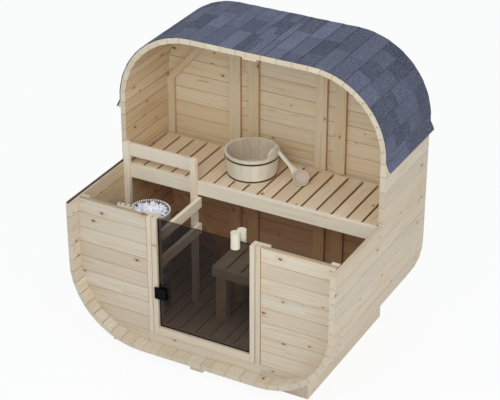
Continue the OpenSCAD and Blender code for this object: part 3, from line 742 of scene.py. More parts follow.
def build_shell():
    """All staves of the shell, one piece for each CAD node."""
    floor = staves(FLOOR_SEAMS, Y_FRONT, FLOOR_JOINT)
    make_shell(floor, "floor_boards", "floor_staves", MAT_SHELL, MAT_GROOVE_AND_SHADE)
    build_side("left", mirrored, MAT_WARM, MAT_LEFT, Z_CUT)
    build_side("right", list, MAT_SHELL, MAT_SHELL, Z_CUT - TONGUE)
    ceiling = staves([HALF_LOOP + s for s in FLOOR_SEAMS], Y_CUT)
    make_shell(ceiling, "ceiling_boards", "ceiling_staves", MAT_SHELL, MAT_JOINT_AND_SHADE)


# End walls of tongue and groove boards. Shares are of a board's thickness.

WALL_BOARD_FIRST = 0.213
WALL_BOARD_LEAST = 0.03
WALL_GAP = 0.001
RING_STEPS = 6
BOARD_TONGUE = ((0.38, False), (0.4, True), (0.6, True), (0.62, False))
BOARD_GROOVE = (0.64, 0.36)
TOP_GROOVES = ((0.2, 0.42), (0.6, 0.82))
TOP_GROOVE_DEPTH = 0.014
SIDE_NAMES = {-1: "left", 0: "middle", 1: "right"}


def reach(z):
    """How far from the middle the inner outline is at a height."""
    if z < SPRING_LOW:
        drop = min(SPRING_LOW - z, INNER_R)
    elif z > SPRING_HIGH:
        drop = min(z - SPRING_HIGH, INNER_R)
    else:
        return X_IN - WALL_GAP
    return FLAT_X + math.sqrt(INNER_R ** 2 - drop ** 2) - WALL_GAP


def board_section(z_a, z_b, y_a, y_b, groove, tongue):
    """The cross section of a level board: heights and depths, with a groove below and a tongue above.

    A board without a tongue has two grooves along its top.
    """
    thick = y_b - y_a
    rows = even(z_a + CHAMFER, z_b - CHAMFER, RING_STEPS)
    top = z_b - WALL_JOINT
    section = [(z, y_a) for z in rows] + [(top, y_a + CHAMFER)]
    if tongue:
        section += [(z_b + TONGUE if out else top, y_a + thick * share) for share, out in BOARD_TONGUE]
    else:
        for first, second in TOP_GROOVES:
            floor = z_b - TOP_GROOVE_DEPTH
            section += [(top, y_a + thick * first), (floor, y_a + thick * first),
                        (floor, y_a + thick * second), (top, y_a + thick * second)]
    section += [(top, y_b - CHAMFER)] + [(z, y_b) for z in reversed(rows)] + [(z_a, y_b - CHAMFER)]
    if groove:
        roof = z_a + TONGUE + WALL_JOINT
        far, near = (y_a + thick * share for share in BOARD_GROOVE)
        section += [(z_a, far), (roof, far), (roof, near), (z_a, near)]
    return section + [(z_a, y_a + CHAMFER)]


def wall_boards(wall, side, x_from, z_top, material, tint_below=0.0):
    """One panel of level boards from a straight edge to the shell, or to the mirrored edge if side is 0.

    Boards that end below a height get painted shade on their front, with brown joints.
    """
    node = wall + "_wall_" + SIDE_NAMES[side]
    low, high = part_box(node)
    edge = side * x_from if side else -x_from
    seams = [FLOOR_TOP]
    while seams[-1] < z_top - WALL_BOARD_LEAST:
        seams.append(min(WALL_BOARD_FIRST + COVER * (len(seams) - 1), z_top))
    stock = Stock()
    for i, (z_a, z_b) in enumerate(zip(seams, seams[1:])):
        last = i == len(seams) - 2
        top = z_b + WALL_JOINT if last else z_b
        section = board_section(z_a, top, low[1], high[1], i > 0, not last)
        ring_a = [Vector((edge, y, z)) for z, y in section]
        ring_b = [Vector((side * reach(z) if side else x_from, y, z)) for z, y in section]
        chamfers = (RING_STEPS, len(section) - 1)
        if z_b < tint_below:
            strips = dict.fromkeys(range(RING_STEPS), BOARD_SHADED)
            strips.update(dict.fromkeys(chamfers, BOARD_JOINT))
        else:
            strips = dict.fromkeys(chamfers, BOARD_SEAM)
        # Painted shade: the open grooves on top of the last board are brown.
        if last:
            for k in range(len(TOP_GROOVES)):
                first = RING_STEPS + 2 + 4 * k
                strips.update(dict.fromkeys(range(first, first + 3), BOARD_JOINT))
        stock.bar([ring_a, ring_b], RIGHT, UP, None, edges=strips)
    name = wall + "_boards_" + SIDE_NAMES[side]
    stock.make(name, material, "spruce", [node], more=(MAT_SEAM, MAT_PAINTED_SHADE, MAT_JOINT_AND_SHADE))


def build_end_walls():
    """The front wall below the cut and the whole back wall."""
    front_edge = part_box("front_wall_right")[0][0]
    rear_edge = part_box("back_wall_middle")[1][0]
    for side in (-1, 1):
        wall_boards("front", side, front_edge, Z_CUT, MAT_SHELL)
    for side in (-1, 1, 0):
        wall_boards("back", side, rear_edge, CEIL_BASE, MAT_BACK, BENCH_TOP)


# Roof of felt shingles.

EAVE_START = 1.634
EAVE_X = 1.083
EAVE_Z = 1.571
EAVE_OUT = EAVE_X - X_OUT
EAVE_FALL = EAVE_START - EAVE_Z
EAVE_FLAT_SHARE = 0.9
ROOF_BEND = OUTER_R * math.pi / 2
EAVE_DROP = SPRING_HIGH - EAVE_START
EAVE_FLARE = math.hypot(EAVE_OUT, EAVE_FALL)
ROOF_RUN = FLAT_X + ROOF_BEND + EAVE_DROP + EAVE_FLARE
COURSES = 12
EXPOSURE = ROOF_RUN / COURSES
LAP = 0.02
CAP_RUN = 0.062
TAB_THICK = 0.0034
TAB_LIFT = 0.0066
TAB_HEAD = 0.0006
CAP_LIFTS = (TAB_LIFT + 0.001, TAB_LIFT + 0.0005)
TAB_GAP = 0.0008
TAB_LEAST = 0.1
TAB_FIRST = (0.1, 0.36)
TAB_NEXT = (0.19, 0.375)
TAB_FLOAT = 0.0003
UNDERLAY = 0.003
UNDERLAY_TONE = 0.1
# Widths of the dark strip along the tabs' lower edges, a painted shadow line; wider on the left side.
TAB_SHADOW = {-1: 0.0045, 1: 0.002}
# Tone ranges of the tabs: the right side is darker, as painted shade; the top courses run a little lighter.
TONE_SPAN = {-1: (0.0, 1.0), 1: (0.0, 0.64)}
TOP_SPAN = (0.12, 1.08)


def roof_point(run, side, lift):
    """A point over the roof: a length from the ridge down one side, and a lift above the staves."""
    if run <= FLAT_X:
        x, z, nx, nz = run, CEIL_HI[2], 0.0, 1.0
    elif run <= FLAT_X + ROOF_BEND:
        turn = (run - FLAT_X) / OUTER_R
        nx, nz = math.sin(turn), math.cos(turn)
        x, z = FLAT_X + OUTER_R * nx, SPRING_HIGH + OUTER_R * nz
    elif run <= FLAT_X + ROOF_BEND + EAVE_DROP:
        x, z, nx, nz = X_OUT, SPRING_HIGH - (run - FLAT_X - ROOF_BEND), 1.0, 0.0
    else:
        share = (run - FLAT_X - ROOF_BEND - EAVE_DROP) / EAVE_FLARE
        nx, nz = EAVE_FALL / EAVE_FLARE, EAVE_OUT / EAVE_FLARE
        x, z = X_OUT + EAVE_OUT * share, EAVE_START - EAVE_FALL * share
        lift = min(lift, UNDERLAY) if share > EAVE_FLAT_SHARE else lift
    return Vector((side * (x + nx * lift), 0, z + nz * lift))


def add_tab(stock, side, top, butt, y_a, y_b, tone, lifts, steps=6):
    """Adds one strip of felt: thin, bent over the roof, raised at its lower edge."""
    upper = []
    lower = []
    for share in even(0.0, 1.0, steps):
        run = top + (butt - top) * share
        lift = lifts[0] + (lifts[1] - lifts[0]) * share
        upper.append(roof_point(run, side, lift))
        lower.append(roof_point(run, side, max(lift - TAB_THICK, TAB_FLOAT)))
    ring = upper + lower[::-1]
    count = len(ring)
    points = [p + DEEP * y for y in (y_a, y_b) for p in ring]
    luck = (RNG.uniform(0, 20), RNG.uniform(-5, 5), RNG.uniform(-5, 5), 0.0, tone)
    faces = quads(range(count), range(count, 2 * count))
    for base in (0, count):
        numbers = range(base, base + count)
        faces += quads(numbers[:steps + 1], numbers[::-1][:steps + 1], closed=False)
    stock.add(points, faces, DEEP, RIGHT * side, luck)


def tab_cuts():
    """Random lengths of tabs along the depth of the roof."""
    cuts = [Y_CUT]
    spot = Y_CUT + RNG.uniform(*TAB_FIRST)
    while spot < Y_BACK - TAB_LEAST:
        cuts.append(spot)
        spot += RNG.uniform(*TAB_NEXT)
    return cuts + [Y_BACK]


def add_course(stock, side, top, butt, lifts, span):
    """Adds one course of tabs, with shades between the two ends of a span, and a painted shadow line along
    each tab's lower edge.
    """
    dull, light = span
    cuts = tab_cuts()
    tone = RNG.random()
    edge = butt - TAB_SHADOW[side]
    for y_a, y_b in zip(cuts, cuts[1:]):
        tone = (tone + RNG.uniform(0.25, 0.75)) % 1.0
        first = y_a if y_a == Y_CUT else y_a + TAB_GAP
        last = y_b if y_b == Y_BACK else y_b - TAB_GAP
        add_tab(stock, side, top, edge, first, last, dull + (light - dull) * tone, lifts)
        # A dark strip at the lower edge: a painted shadow line.
        add_tab(stock, side, edge, butt, first, last, SHADE_TONE, (lifts[1], lifts[1]), 1)


def build_roof():
    """Felt tabs over an underlay, in three pieces as in the CAD model."""
    top_stock = Stock()
    flat = (UNDERLAY, UNDERLAY)
    lifts = (UNDERLAY + TAB_HEAD, TAB_LIFT)
    flat_courses = int(FLAT_X / EXPOSURE)
    bend_top = ROOF_RUN - EXPOSURE * (COURSES - flat_courses)
    for side in (-1, 1):
        stock = Stock()
        add_tab(stock, side, bend_top, ROOF_RUN, Y_CUT, Y_BACK, UNDERLAY_TONE, flat, 40)
        add_tab(top_stock, side, 0.0, bend_top, Y_CUT, Y_BACK, UNDERLAY_TONE, flat, 4)
        for k in range(COURSES):
            butt = ROOF_RUN - EXPOSURE * k
            top = max(butt - EXPOSURE - LAP, 0.0)
            if COURSES - k <= flat_courses:
                add_course(top_stock, side, top, butt, lifts, TOP_SPAN)
            else:
                add_course(stock, side, top, butt, lifts, TONE_SPAN[side])
        name = SIDE_NAMES[side]
        stock.make(name + "_shingle_tabs", MAT_FELT, "shingles", [name + "_shingles"])
    for side in (-1, 1):
        add_course(top_stock, side, 0.0, CAP_RUN, CAP_LIFTS, TOP_SPAN)
    top_stock.make("top_shingle_tabs", MAT_FELT, "shingles", ["top_shingles"])


# Small round parts.

NAIL_R = 0.0056
NAIL_STEP = 0.0594
NAIL_START = 0.03
NAIL_CLEAR = 0.02
NAIL_SEAT = 0.0009
NAIL_STRAY = 0.003
NAIL_PROFILE = ((0.0, 0.0016), (NAIL_R * 0.6, 0.0015), (NAIL_R, 0.0007), (NAIL_R, -0.001), (0.0, -0.001))


def lathe(stock, profile, middle, axis, turns, along=None, tone=None):
    """Adds a turned body: a profile of radius and height about an axis, closed where the radius is 0."""
    axis = axis.normalized()
    guess = RIGHT if abs(axis.x) < 0.8 else DEEP
    side = (guess - axis * guess.dot(axis)).normalized()
    third = axis.cross(side)
    points = []
    rows = []
    for radius, height in profile:
        base = middle + axis * height
        if radius < 1e-6:
            rows.append([len(points)] * turns)
            points.append(base)
            continue
        rows.append(range(len(points), len(points) + turns))
        for i in range(turns):
            angle = FULL_TURN * i / turns
            points.append(base + (side * math.cos(angle) + third * math.sin(angle)) * radius)
    faces = []
    for low, high in zip(rows, rows[1:]):
        faces += [list(dict.fromkeys(face)) for face in quads(low, high)]
    luck = stock.draw()
    if tone is not None:
        luck = (*luck[:-1], tone)
    stock.add(points, faces, along or axis, side, luck)


def hoop(stock, middle, radius, section, turns):
    """Adds a level ring with a section of radius and height offsets."""
    points = []
    faces = []
    count = len(section)
    for i in range(turns):
        points += [middle + polar(radius + dr, FULL_TURN * i / turns, dz) for dr, dz in section]
        low = i * count
        high = (i + 1) % turns * count
        faces += quads(range(low, low + count), range(high, high + count))
    stock.add(points, faces, UP, RIGHT)


def build_nails():
    """Rows of flat nail heads that hold the staves to both end walls."""
    stock = Stock()
    for node in ("front_wall_left", "back_wall_left"):
        y = sum(corner[1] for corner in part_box(node)) / 2
        run = NAIL_START
        while run < HALF_LOOP:
            for side in (1, -1):
                at, out = loop_point(side * run)
                covered = at.z > EAVE_Z - NAIL_CLEAR
                cut_off = y < Y_CUT and at.z > Z_CUT - NAIL_CLEAR
                if not covered and not cut_off:
                    stray = RNG.uniform(-NAIL_STRAY, NAIL_STRAY)
                    spot = at + out * (STAVE - NAIL_SEAT) + DEEP * y + DEEP * stray
                    lathe(stock, NAIL_PROFILE, spot, out, 10)
            run += NAIL_STEP
    stock.make("stave_nails", MAT_NAIL, "bright_steel", smooth=40)


# Heater.

CAGE_LO, CAGE_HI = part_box("heater_cage")
CAGE_AXIS = Vector(((CAGE_LO[0] + CAGE_HI[0]) / 2, (CAGE_LO[1] + CAGE_HI[1]) / 2, 0))
CAGE_FOOT = CAGE_LO[2]
CAGE_RIM = CAGE_HI[2]
RODS = 52
ROD_R = 0.0036
TIP_HIGH = 0.01
ROD_RING = (CAGE_HI[0] - CAGE_LO[0]) / 2 - ROD_R
CAGE_IN = ROD_RING - ROD_R
STONE_SPACE = CAGE_IN - 0.005
STONE_SINK = 0.85
CAGE_HOOPS = 6
HOOP_FIRST = 0.014
HOOP_LAST = 0.045
HOOP_BAND = ((-0.0012, -0.012), (0.0012, -0.012), (0.0012, 0.012), (-0.0012, 0.012))
PLATE = 0.004


def build_cage():
    """A round cage of rods with tips painted pale as a highlight, flat hoops inside them and a plate as its
    floor.
    """
    tall = CAGE_RIM - CAGE_FOOT
    shaft = tall - TIP_HIGH
    rod = ((0.0, 0.0), (ROD_R, 0.001), (ROD_R, shaft), (0.0, shaft))
    tip = ((0.0, tall - 0.011), (ROD_R * 1.1, shaft), (ROD_R * 1.45, tall - 0.004),
           (ROD_R * 1.45, tall + 0.003), (ROD_R * 0.9, tall + 0.006), (0.0, tall + 0.007))
    cage = Stock()
    tips = Stock()
    for i in range(RODS):
        foot = CAGE_AXIS + polar(ROD_RING, FULL_TURN * i / RODS, CAGE_FOOT)
        lathe(cage, rod, foot, UP, 8)
        lathe(tips, tip, foot, UP, 10)
    for level in even(CAGE_FOOT + HOOP_FIRST, CAGE_RIM - HOOP_LAST, CAGE_HOOPS):
        hoop(cage, CAGE_AXIS + UP * level, CAGE_IN - 0.0014, HOOP_BAND, 96)
    plate_top = CAGE_FOOT + PLATE
    plate = ((0.0, CAGE_FOOT), (CAGE_IN, CAGE_FOOT), (CAGE_IN, plate_top), (0.0, plate_top))
    lathe(cage, plate, CAGE_AXIS, UP, 64)
    cage.make("heater_cage_rods", MAT_BRIGHT, "bright_steel", ["heater_cage"], smooth=50)
    tips.make("heater_rod_tips", MAT_TIP_HIGHLIGHT, "bright_steel", smooth=50)


def add_stone(stock, spot, angle, z, size, detail, tone):
    """Adds one stone at a place in the cage: a ball broken up by noise."""
    work = bmesh.new()
    bmesh.ops.create_icosphere(work, subdivisions=detail, radius=1.0)
    seed = Vector((RNG.uniform(0, 50), RNG.uniform(0, 50), RNG.uniform(0, 50)))
    turn = Matrix.Rotation(RNG.uniform(0, 6.28), 3, Vector((RNG.random(), RNG.random(), RNG.random() + 0.1)))
    shape = Vector((RNG.uniform(0.85, 1.15), RNG.uniform(0.8, 1.1), RNG.uniform(0.7, 0.95)))
    middle = CAGE_AXIS + polar(spot, angle, z)
    points = []
    for vert in work.verts:
        swell = 1 + 0.26 * noise.noise(vert.co * 1.4 + seed) + 0.1 * noise.noise(vert.co * 3.2 + seed)
        points.append(middle + turn @ (vert.co * shape * swell * size))
    work.verts.index_update()
    faces = [[v.index for v in f.verts] for f in work.faces]
    work.free()
    stock.add(points, faces, RIGHT, DEEP, (0, 0, 0, 0, tone))


def side_stones(stock):
    """Adds rings of stones that show between the rods."""
    size = 0.024
    count = 16
    level = CAGE_FOOT + size + 0.005
    while level < CAGE_RIM - 0.05:
        turn = RNG.random()
        for i in range(count):
            angle = FULL_TURN * (i + turn + RNG.uniform(-0.15, 0.15)) / count
            spot = STONE_SPACE - size * 1.25 - RNG.uniform(0, 0.005)
            z = level + RNG.uniform(-0.005, 0.005)
            own_size = size * RNG.uniform(0.92, 1.1)
            add_stone(stock, spot, angle, z, own_size, 2, RNG.random())
        level += size * 1.7


def crown_stones(stock):
    """Adds two layers of stones that make the crowned top of the pile."""
    crown_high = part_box("heater_stones")[1][2] - CAGE_RIM
    rim_spot = STONE_SPACE - 0.025
    for drop in (0.0, 0.034):
        for spot, count in ((0.0, 1), (0.04, 5), (0.076, 10), (rim_spot, 16)):
            turn = RNG.random()
            crown = crown_high * (1 - (spot / rim_spot) ** 2)
            for i in range(count):
                angle = FULL_TURN * (i + turn + RNG.uniform(-0.18, 0.18)) / count
                size = RNG.uniform(0.022, 0.027)
                top = CAGE_RIM + crown - 0.001 - drop + RNG.uniform(-0.009, 0.006)
                add_stone(stock, spot, angle, top - size * STONE_SINK, size, 3, RNG.random())


def rim_chips(stock):
    """Adds small stones along the rim, every second one dark as painted shade between the stones."""
    chips = 44
    for i in range(chips):
        angle = FULL_TURN * (i + RNG.uniform(-0.3, 0.3)) / chips
        size = RNG.uniform(0.010, 0.0135)
        spot = STONE_SPACE - size - RNG.uniform(0, 0.004)
        top = CAGE_RIM - 0.004 + RNG.uniform(-0.006, 0.002)
        tone = SHADE_TONE if i % 2 else RNG.random()
        add_stone(stock, spot, angle, top - size * STONE_SINK, size, 2, tone)


def build_stones():
    """The pile of pale stones, round a dark core that closes the view between them with painted shade."""
    stock = Stock()
    side_stones(stock)
    bed = CAGE_RIM - 0.035
    core_r = STONE_SPACE - 0.03
    core = ((0.0, CAGE_FOOT + 0.01), (core_r, CAGE_FOOT + 0.01), (core_r, bed - 0.01), (0.0, bed))
    lathe(stock, core, CAGE_AXIS, UP, 48, tone=SHADE_TONE)
    crown_stones(stock)
    rim_chips(stock)
    stock.make("heater_stone_pile", MAT_STONE, "heater_stone", ["heater_stones"], smooth=60)


# Bucket.

BUCKET_HIGH = 0.192
BUCKET_FOOT_R = 0.178
BUCKET_RIM_R = 0.202
BUCKET_WALL = 0.018
BUCKET_GAP = 0.0005
BUCKET_EDGE = 0.0009
BUCKET_STAVES = 17
STAVE_STEPS = 6
BUCKET_FLOOR = (0.006, 0.025)
EAR_WIDE = 0.098
EAR_HIGH = 0.072
EAR_FOOT = 0.02
EAR_CUT = 0.022
EAR_CUT_SHARE = 0.34
EAR_TURN = math.radians(-11)
HALF_EAR = math.asin(EAR_WIDE / 2 / BUCKET_RIM_R)
HOOP_HIGH = 0.015
SHADE_DROP = 0.01


def bucket_r(height):
    """The bucket's outer radius at a height over its foot."""
    return BUCKET_FOOT_R + (BUCKET_RIM_R - BUCKET_FOOT_R) * height / BUCKET_HIGH


def bucket_stave(stock, centre, angle_a, angle_b, ear):
    """Adds one stave of the bucket. The ear stave goes on over the rim, with its left corner cut off."""
    heights = even(0.0, BUCKET_HIGH, 3)
    ear_top = BUCKET_HIGH + EAR_HIGH
    if ear:
        heights += [BUCKET_HIGH + EAR_FOOT, ear_top]
    points = []
    lines = []
    for height in heights:
        for rad in (bucket_r(height) - BUCKET_WALL, bucket_r(height)):
            trim = BUCKET_GAP / rad
            lines.append(range(len(points), len(points) + STAVE_STEPS + 1))
            for share in even(0.0, 1.0, STAVE_STEPS):
                angle = angle_a + trim + (angle_b - angle_a - 2 * trim) * share
                cut = EAR_CUT * max(0.0, 1 - share / EAR_CUT_SHARE) if height == ear_top else 0.0
                points.append(centre + polar(rad, angle, height - cut))
    faces = quads(lines[0], lines[1], closed=False) + quads(lines[-2], lines[-1], closed=False)
    for inner, outer, next_inner, next_outer in zip(lines[::2], lines[1::2], lines[2::2], lines[3::2]):
        faces += quads(inner, next_inner, closed=False) + quads(outer, next_outer, closed=False)
        faces += [[inner[j], outer[j], next_outer[j], next_inner[j]] for j in (0, STAVE_STEPS)]
    middle = (angle_a + angle_b) / 2
    outward = polar(1.0, middle, 0)
    soft_points, soft_faces = soften(points, faces, BUCKET_EDGE)
    # Inner faces below the rim take the painted shade inside the bucket.
    shade_top = centre.z + BUCKET_HIGH - SHADE_DROP
    finish = []
    for face in soft_faces:
        normal = face_cross(soft_points, face)
        inside = normal.dot(outward) < -0.7 * normal.length
        finish.append(int(inside and min(soft_points[i].z for i in face) < shade_top))
    stock.add(soft_points, soft_faces, UP, UP.cross(outward), None, finish)


def build_bucket():
    """A tub of staves with two hoops and one tall ear. Gives the middle of its foot."""
    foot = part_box("bucket_tub")[0][2]
    low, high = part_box("bucket_hoops")
    ground = Vector(((low[0] + high[0]) / 2, (low[1] + high[1]) / 2, foot))
    stock = Stock()
    first = EAR_TURN - HALF_EAR
    seams = [first] + even(EAR_TURN + HALF_EAR, first + FULL_TURN, BUCKET_STAVES)
    for i, (angle_a, angle_b) in enumerate(zip(seams, seams[1:])):
        bucket_stave(stock, ground, angle_a, angle_b, i == 0)
    floor_r = BUCKET_FOOT_R - BUCKET_WALL + 0.003
    under, over = BUCKET_FLOOR
    base = ((0.0, under), (floor_r, under), (floor_r, over), (0.0, over))
    lathe(stock, base, ground, UP, 48, RIGHT)
    stock.make("bucket_staves", MAT_TUB, "spruce", ["bucket_tub"], smooth=20, more=(MAT_INNER_SHADE,))

    bands = Stock()
    half = HOOP_HIGH / 2
    section = ((-0.001, -half), (0.0018, -half + 0.0005), (0.0025, -half / 2), (0.0027, half / 2),
               (0.0021, half - 0.0005), (-0.001, half))
    for height in (low[2] + half, high[2] - half):
        hoop(bands, Vector((ground.x, ground.y, height)), bucket_r(height - foot), section, 72)
    bands.make("bucket_hoop_bands", MAT_HOOP, "black_steel", ["bucket_hoops"], smooth=40)
    return ground


# Ladle, in a place that is worked out as in the part's source.

BOWL_R = 0.058
BOWL_HOLLOW = 0.026
BOWL_TURNS = 40
BOWL_LEVELS = 9
BOWL_LIP = ((0.985, 0.0014), (0.94, 0.002), (0.9, 0.0005))
LADLE_R = 0.013
LADLE_RISE = math.radians(40)
LADLE_ROLL = math.radians(35)
LADLE_TURN = math.radians(-5)
LADLE_EAR_GAP = 0.007
LADLE_OVER = 0.028
LADLE_FIT = 0.0003
HANDLE_START = BOWL_R * 0.98
HANDLE_SIDES = 16
HANDLE_STATIONS = 14


def ladle_frame(ground):
    """The ladle's own frame, and its handle's length.

    The handle runs along -X and the bowl opens along +Z.
    """
    rim_mid = BUCKET_RIM_R - BUCKET_WALL / 2
    spot = EAR_TURN + HALF_EAR + math.asin((LADLE_R + LADLE_EAR_GAP) / rim_mid)
    skew = LADLE_TURN - spot
    seat = (LADLE_R + LADLE_FIT) / math.cos(LADLE_RISE)
    seat += BUCKET_WALL / 2 / math.cos(skew) * math.tan(LADLE_RISE)
    drop = LADLE_R * math.cos(LADLE_RISE) * math.cos(LADLE_ROLL)
    base = ground.z + LADLE_FIT + BOWL_R - drop
    run = (ground.z + BUCKET_HIGH + seat - base) / math.tan(LADLE_RISE)
    length = (run + LADLE_OVER) / math.cos(LADLE_RISE)
    place = Matrix.Translation((ground.x, ground.y, base)) @ Matrix.Rotation(spot, 4, "Z")
    place = place @ Matrix.Translation((rim_mid, 0, 0)) @ Matrix.Rotation(skew, 4, "Z")
    place = place @ Matrix.Translation((run, 0, 0))
    place = place @ Matrix.Rotation(LADLE_RISE, 4, "Y") @ Matrix.Rotation(LADLE_ROLL, 4, "X")
    return place, length


def bowl_rings(place):
    """Rings of the egg-shaped bowl, from its foot over its lip and down into its hollow."""
    steps = []
    for i in range(BOWL_LEVELS):
        turn = math.pi / 2 * (1 - i / BOWL_LEVELS)
        steps.append((max(math.cos(turn), 0.02), -(BOWL_R - 0.001) * math.sin(turn)))
    steps += BOWL_LIP
    for i in range(1, BOWL_LEVELS):
        turn = math.pi / 2 * i / BOWL_LEVELS
        steps.append((0.865 * math.cos(turn) ** 0.8 + 0.01, -BOWL_HOLLOW * math.sin(turn)))
    outline = []
    for i in range(BOWL_TURNS):
        angle = FULL_TURN * i / BOWL_TURNS
        back = max(0.0, -math.cos(angle))
        outline.append((math.cos(angle) * BOWL_R * (1.06 + 0.2 * back),
                        math.sin(angle) * BOWL_R * (1.0 - 0.16 * back ** 2)))
    return [[place @ Vector((x * shrink, y * shrink, LADLE_R + z)) for x, y in outline]
            for shrink, z in steps]


def handle_rings(place, length):
    """Rings of the handle, wide at the bowl and rounded at its end."""
    rings = []
    for k in range(HANDLE_STATIONS + 1):
        share = k / HANDLE_STATIONS
        x = -HANDLE_START - (length - HANDLE_START) * share
        flare = max(0.0, 1 - share / 0.34) ** 1.6
        wide = LADLE_R * (1.18 + 1.3 * flare + 0.06 * share)
        thick = LADLE_R * (0.86 + 0.05 * share)
        if k == HANDLE_STATIONS:
            wide *= 0.55
            thick *= 0.55
        if k == HANDLE_STATIONS - 1:
            x = -length + 0.005
        turns = [FULL_TURN * i / HANDLE_SIDES for i in range(HANDLE_SIDES)]
        rings.append([place @ Vector((x, wide * math.cos(a), thick * math.sin(a))) for a in turns])
    return rings


def build_ladle(ground):
    """A carved wooden ladle: a bowl with painted shade in its hollow, and a handle that widens into it."""
    place, length = ladle_frame(ground)
    along = (place.to_3x3() @ RIGHT).normalized()
    across = (place.to_3x3() @ DEEP).normalized()
    stock = Stock()
    luck = stock.draw()
    bowl = bowl_rings(place)
    hollow_shade = dict.fromkeys(range(BOWL_TURNS), 1)
    stock.bar(bowl, along, across, luck, (0, 1), None, hollow_shade, range(BOWL_LEVELS + 2, len(bowl)))
    stock.bar(handle_rings(place, length), along, across, luck)
    stock.make("ladle_carved", MAT_TUB, "spruce", ["ladle"], smooth=50, more=(MAT_INNER_SHADE,))


# Joinery and door.

THIN_EDGE = 0.0025
SLAT_EDGE = 0.004
TRIM_EDGE = 0.0055
STEEL_EDGE = 0.0012
STRIP_EDGE = 0.0015
LEG_EDGE = 0.001
KNOB_EDGE = 0.005
TRIM_LEAN = 0.3
BORE_FACE = 0.0005


def build_ceiling_strip():
    """The thin closing strip under one ceiling stave, from the cut edge to the back battens."""
    left, right = -0.048, 0.06
    under = CEIL_BASE - 0.016
    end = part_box("back_battens")[0][1]
    corners = ((left, under), (right, under), (right, CEIL_BASE), (left, CEIL_BASE))
    points = [Vector((x, y, z)) for y in (Y_CUT, end) for x, z in corners]
    faces = [[3, 2, 1, 0], [4, 5, 6, 7]] + quads(range(4), range(4, 8))
    stock = Stock()
    soft_points, soft_faces = soften(points, faces, STRIP_EDGE)
    stock.add(soft_points, soft_faces, DEEP, RIGHT)
    stock.make("ceiling_strip", MAT_FRAME, "spruce", smooth=20)


def build_groove_strip():
    """The dark strip in the open groove on top of the left wall, in front of the cut: painted shade in the
    groove.
    """
    inner = -X_IN - STAVE * 0.5
    outer = -X_IN - STAVE * 0.94
    under = Z_CUT - 0.006
    over = Z_CUT + 0.0006
    inset = 0.0005
    corners = ((inner, under), (outer, under), (outer, over), (inner, over))
    rings = [[Vector((x, y, z)) for x, z in corners] for y in (Y_FRONT + inset, Y_CUT - inset)]
    stock = Stock()
    stock.bar(rings, DEEP, RIGHT)
    stock.make("left_groove_shade_strip", MAT_GROOVE_AND_SHADE, "spruce")


def build_glass_edge():
    """The thin dark edge of the door glass, on its two sides and its foot."""
    wide = 0.005
    proud = 0.0004
    points = []
    for y in (GLASS_LO[1] - proud, GLASS_HI[1] + proud):
        for inset in (0.0, wide):
            left, right = GLASS_LO[0] + inset, GLASS_HI[0] - inset
            foot, head = GLASS_LO[2] + inset, GLASS_HI[2]
            corners = ((left, head), (left, foot), (right, foot), (right, head))
            points += [Vector((x, y, z)) for x, z in corners]
    lines = [range(first, first + 4) for first in (0, 4, 8, 12)]
    faces = [[0, 4, 12, 8], [3, 7, 15, 11]]
    for low, high in ((0, 1), (2, 3), (0, 2), (1, 3)):
        faces += quads(lines[low], lines[high], closed=False)
    stock = Stock()
    stock.add(points, faces, UP, RIGHT)
    stock.make("door_glass_edge", MAT_BLACK, "black_steel", body="door")


def build_vent():
    """The vent cover behind the front wall, with painted shade in its bores."""
    stock = Stock()
    for points, faces in node_solids("vent_cover", False):
        # The faces of the bores take the dark brown: painted shade.
        finish = []
        for face in faces:
            normal = face_cross(points, face)
            upright = abs(normal.z) < 0.1 * normal.length
            finish.append(int(upright and normal.length / 2 < BORE_FACE))
        stock.add(points, faces, RIGHT, UP, None, finish)
    stock.make("vent_cover_dressed", MAT_FRAME, "spruce", ["vent_cover"], smooth=20, more=(MAT_GROOVE_AND_SHADE,))


def build_joinery():
    """Planed boards that keep their CAD shape and get rounded edges and grain."""
    for node in ("front_wall_foot", "front_battens", "door_jambs", "door_sill", "eave_fillets",
                 "base_saddles"):
        dress(node, MAT_FRAME, "spruce", THIN_EDGE)
    # The trims' sides are brown: a painted shadow line beside them.
    dress("door_trims", MAT_FRAME, "spruce", TRIM_EDGE, sides=MAT_JOINT_AND_SHADE, lean=TRIM_LEAN)
    dress("base_runner", MAT_RAIL, "spruce", THIN_EDGE)
    dress("base_sides", MAT_BASE, "spruce", THIN_EDGE)
    # The battens' sides are browner: a painted shadow beside them.
    dress("back_battens", MAT_BATTEN, "spruce", THIN_EDGE, sides=MAT_SIDE_SHADE)
    for node in ("upper_bench_bearers", "lower_bench_bearers", "lower_bench_legs"):
        dress(node, MAT_BENCH, "spruce", THIN_EDGE)
    for node in ("guard_posts", "guard_rails"):
        dress(node, MAT_RAIL, "spruce", THIN_EDGE)
    # The slats' sides are browner: painted shade in the gaps between them.
    dress("upper_bench_slats", MAT_BENCH, "spruce", SLAT_EDGE, sides=MAT_SIDE_SHADE)
    dress("lower_bench_slats", MAT_BENCH, "spruce", SLAT_EDGE)
    dress("upper_bench_fascias", MAT_RAIL, "spruce", SLAT_EDGE, rear=MAT_WARM)
    dress("lower_bench_fascias", MAT_FRAME, "spruce", SLAT_EDGE)
    build_vent()
    build_ceiling_strip()
    build_groove_strip()
    # The legs take painted light: a pale steel in place of black.
    dress("heater_legs", MAT_LEG_PAINTED_LIGHT, "black_steel", LEG_EDGE)


def build_door():
    """The glass, the hinge leaves and the two turned knobs."""
    dress("door_glass", MAT_GLASS, "door_glass", STEEL_EDGE, "door", smooth=None)
    dress("hinge_frame_leaf", MAT_BLACK, "black_steel", STEEL_EDGE)
    dress("hinge_door_leaf", MAT_BLACK, "black_steel", STEEL_EDGE, "door")
    dress("door_handles", MAT_TUB, "spruce", KNOB_EDGE, "door")
    build_glass_edge()


# Stage: camera, light and floor.

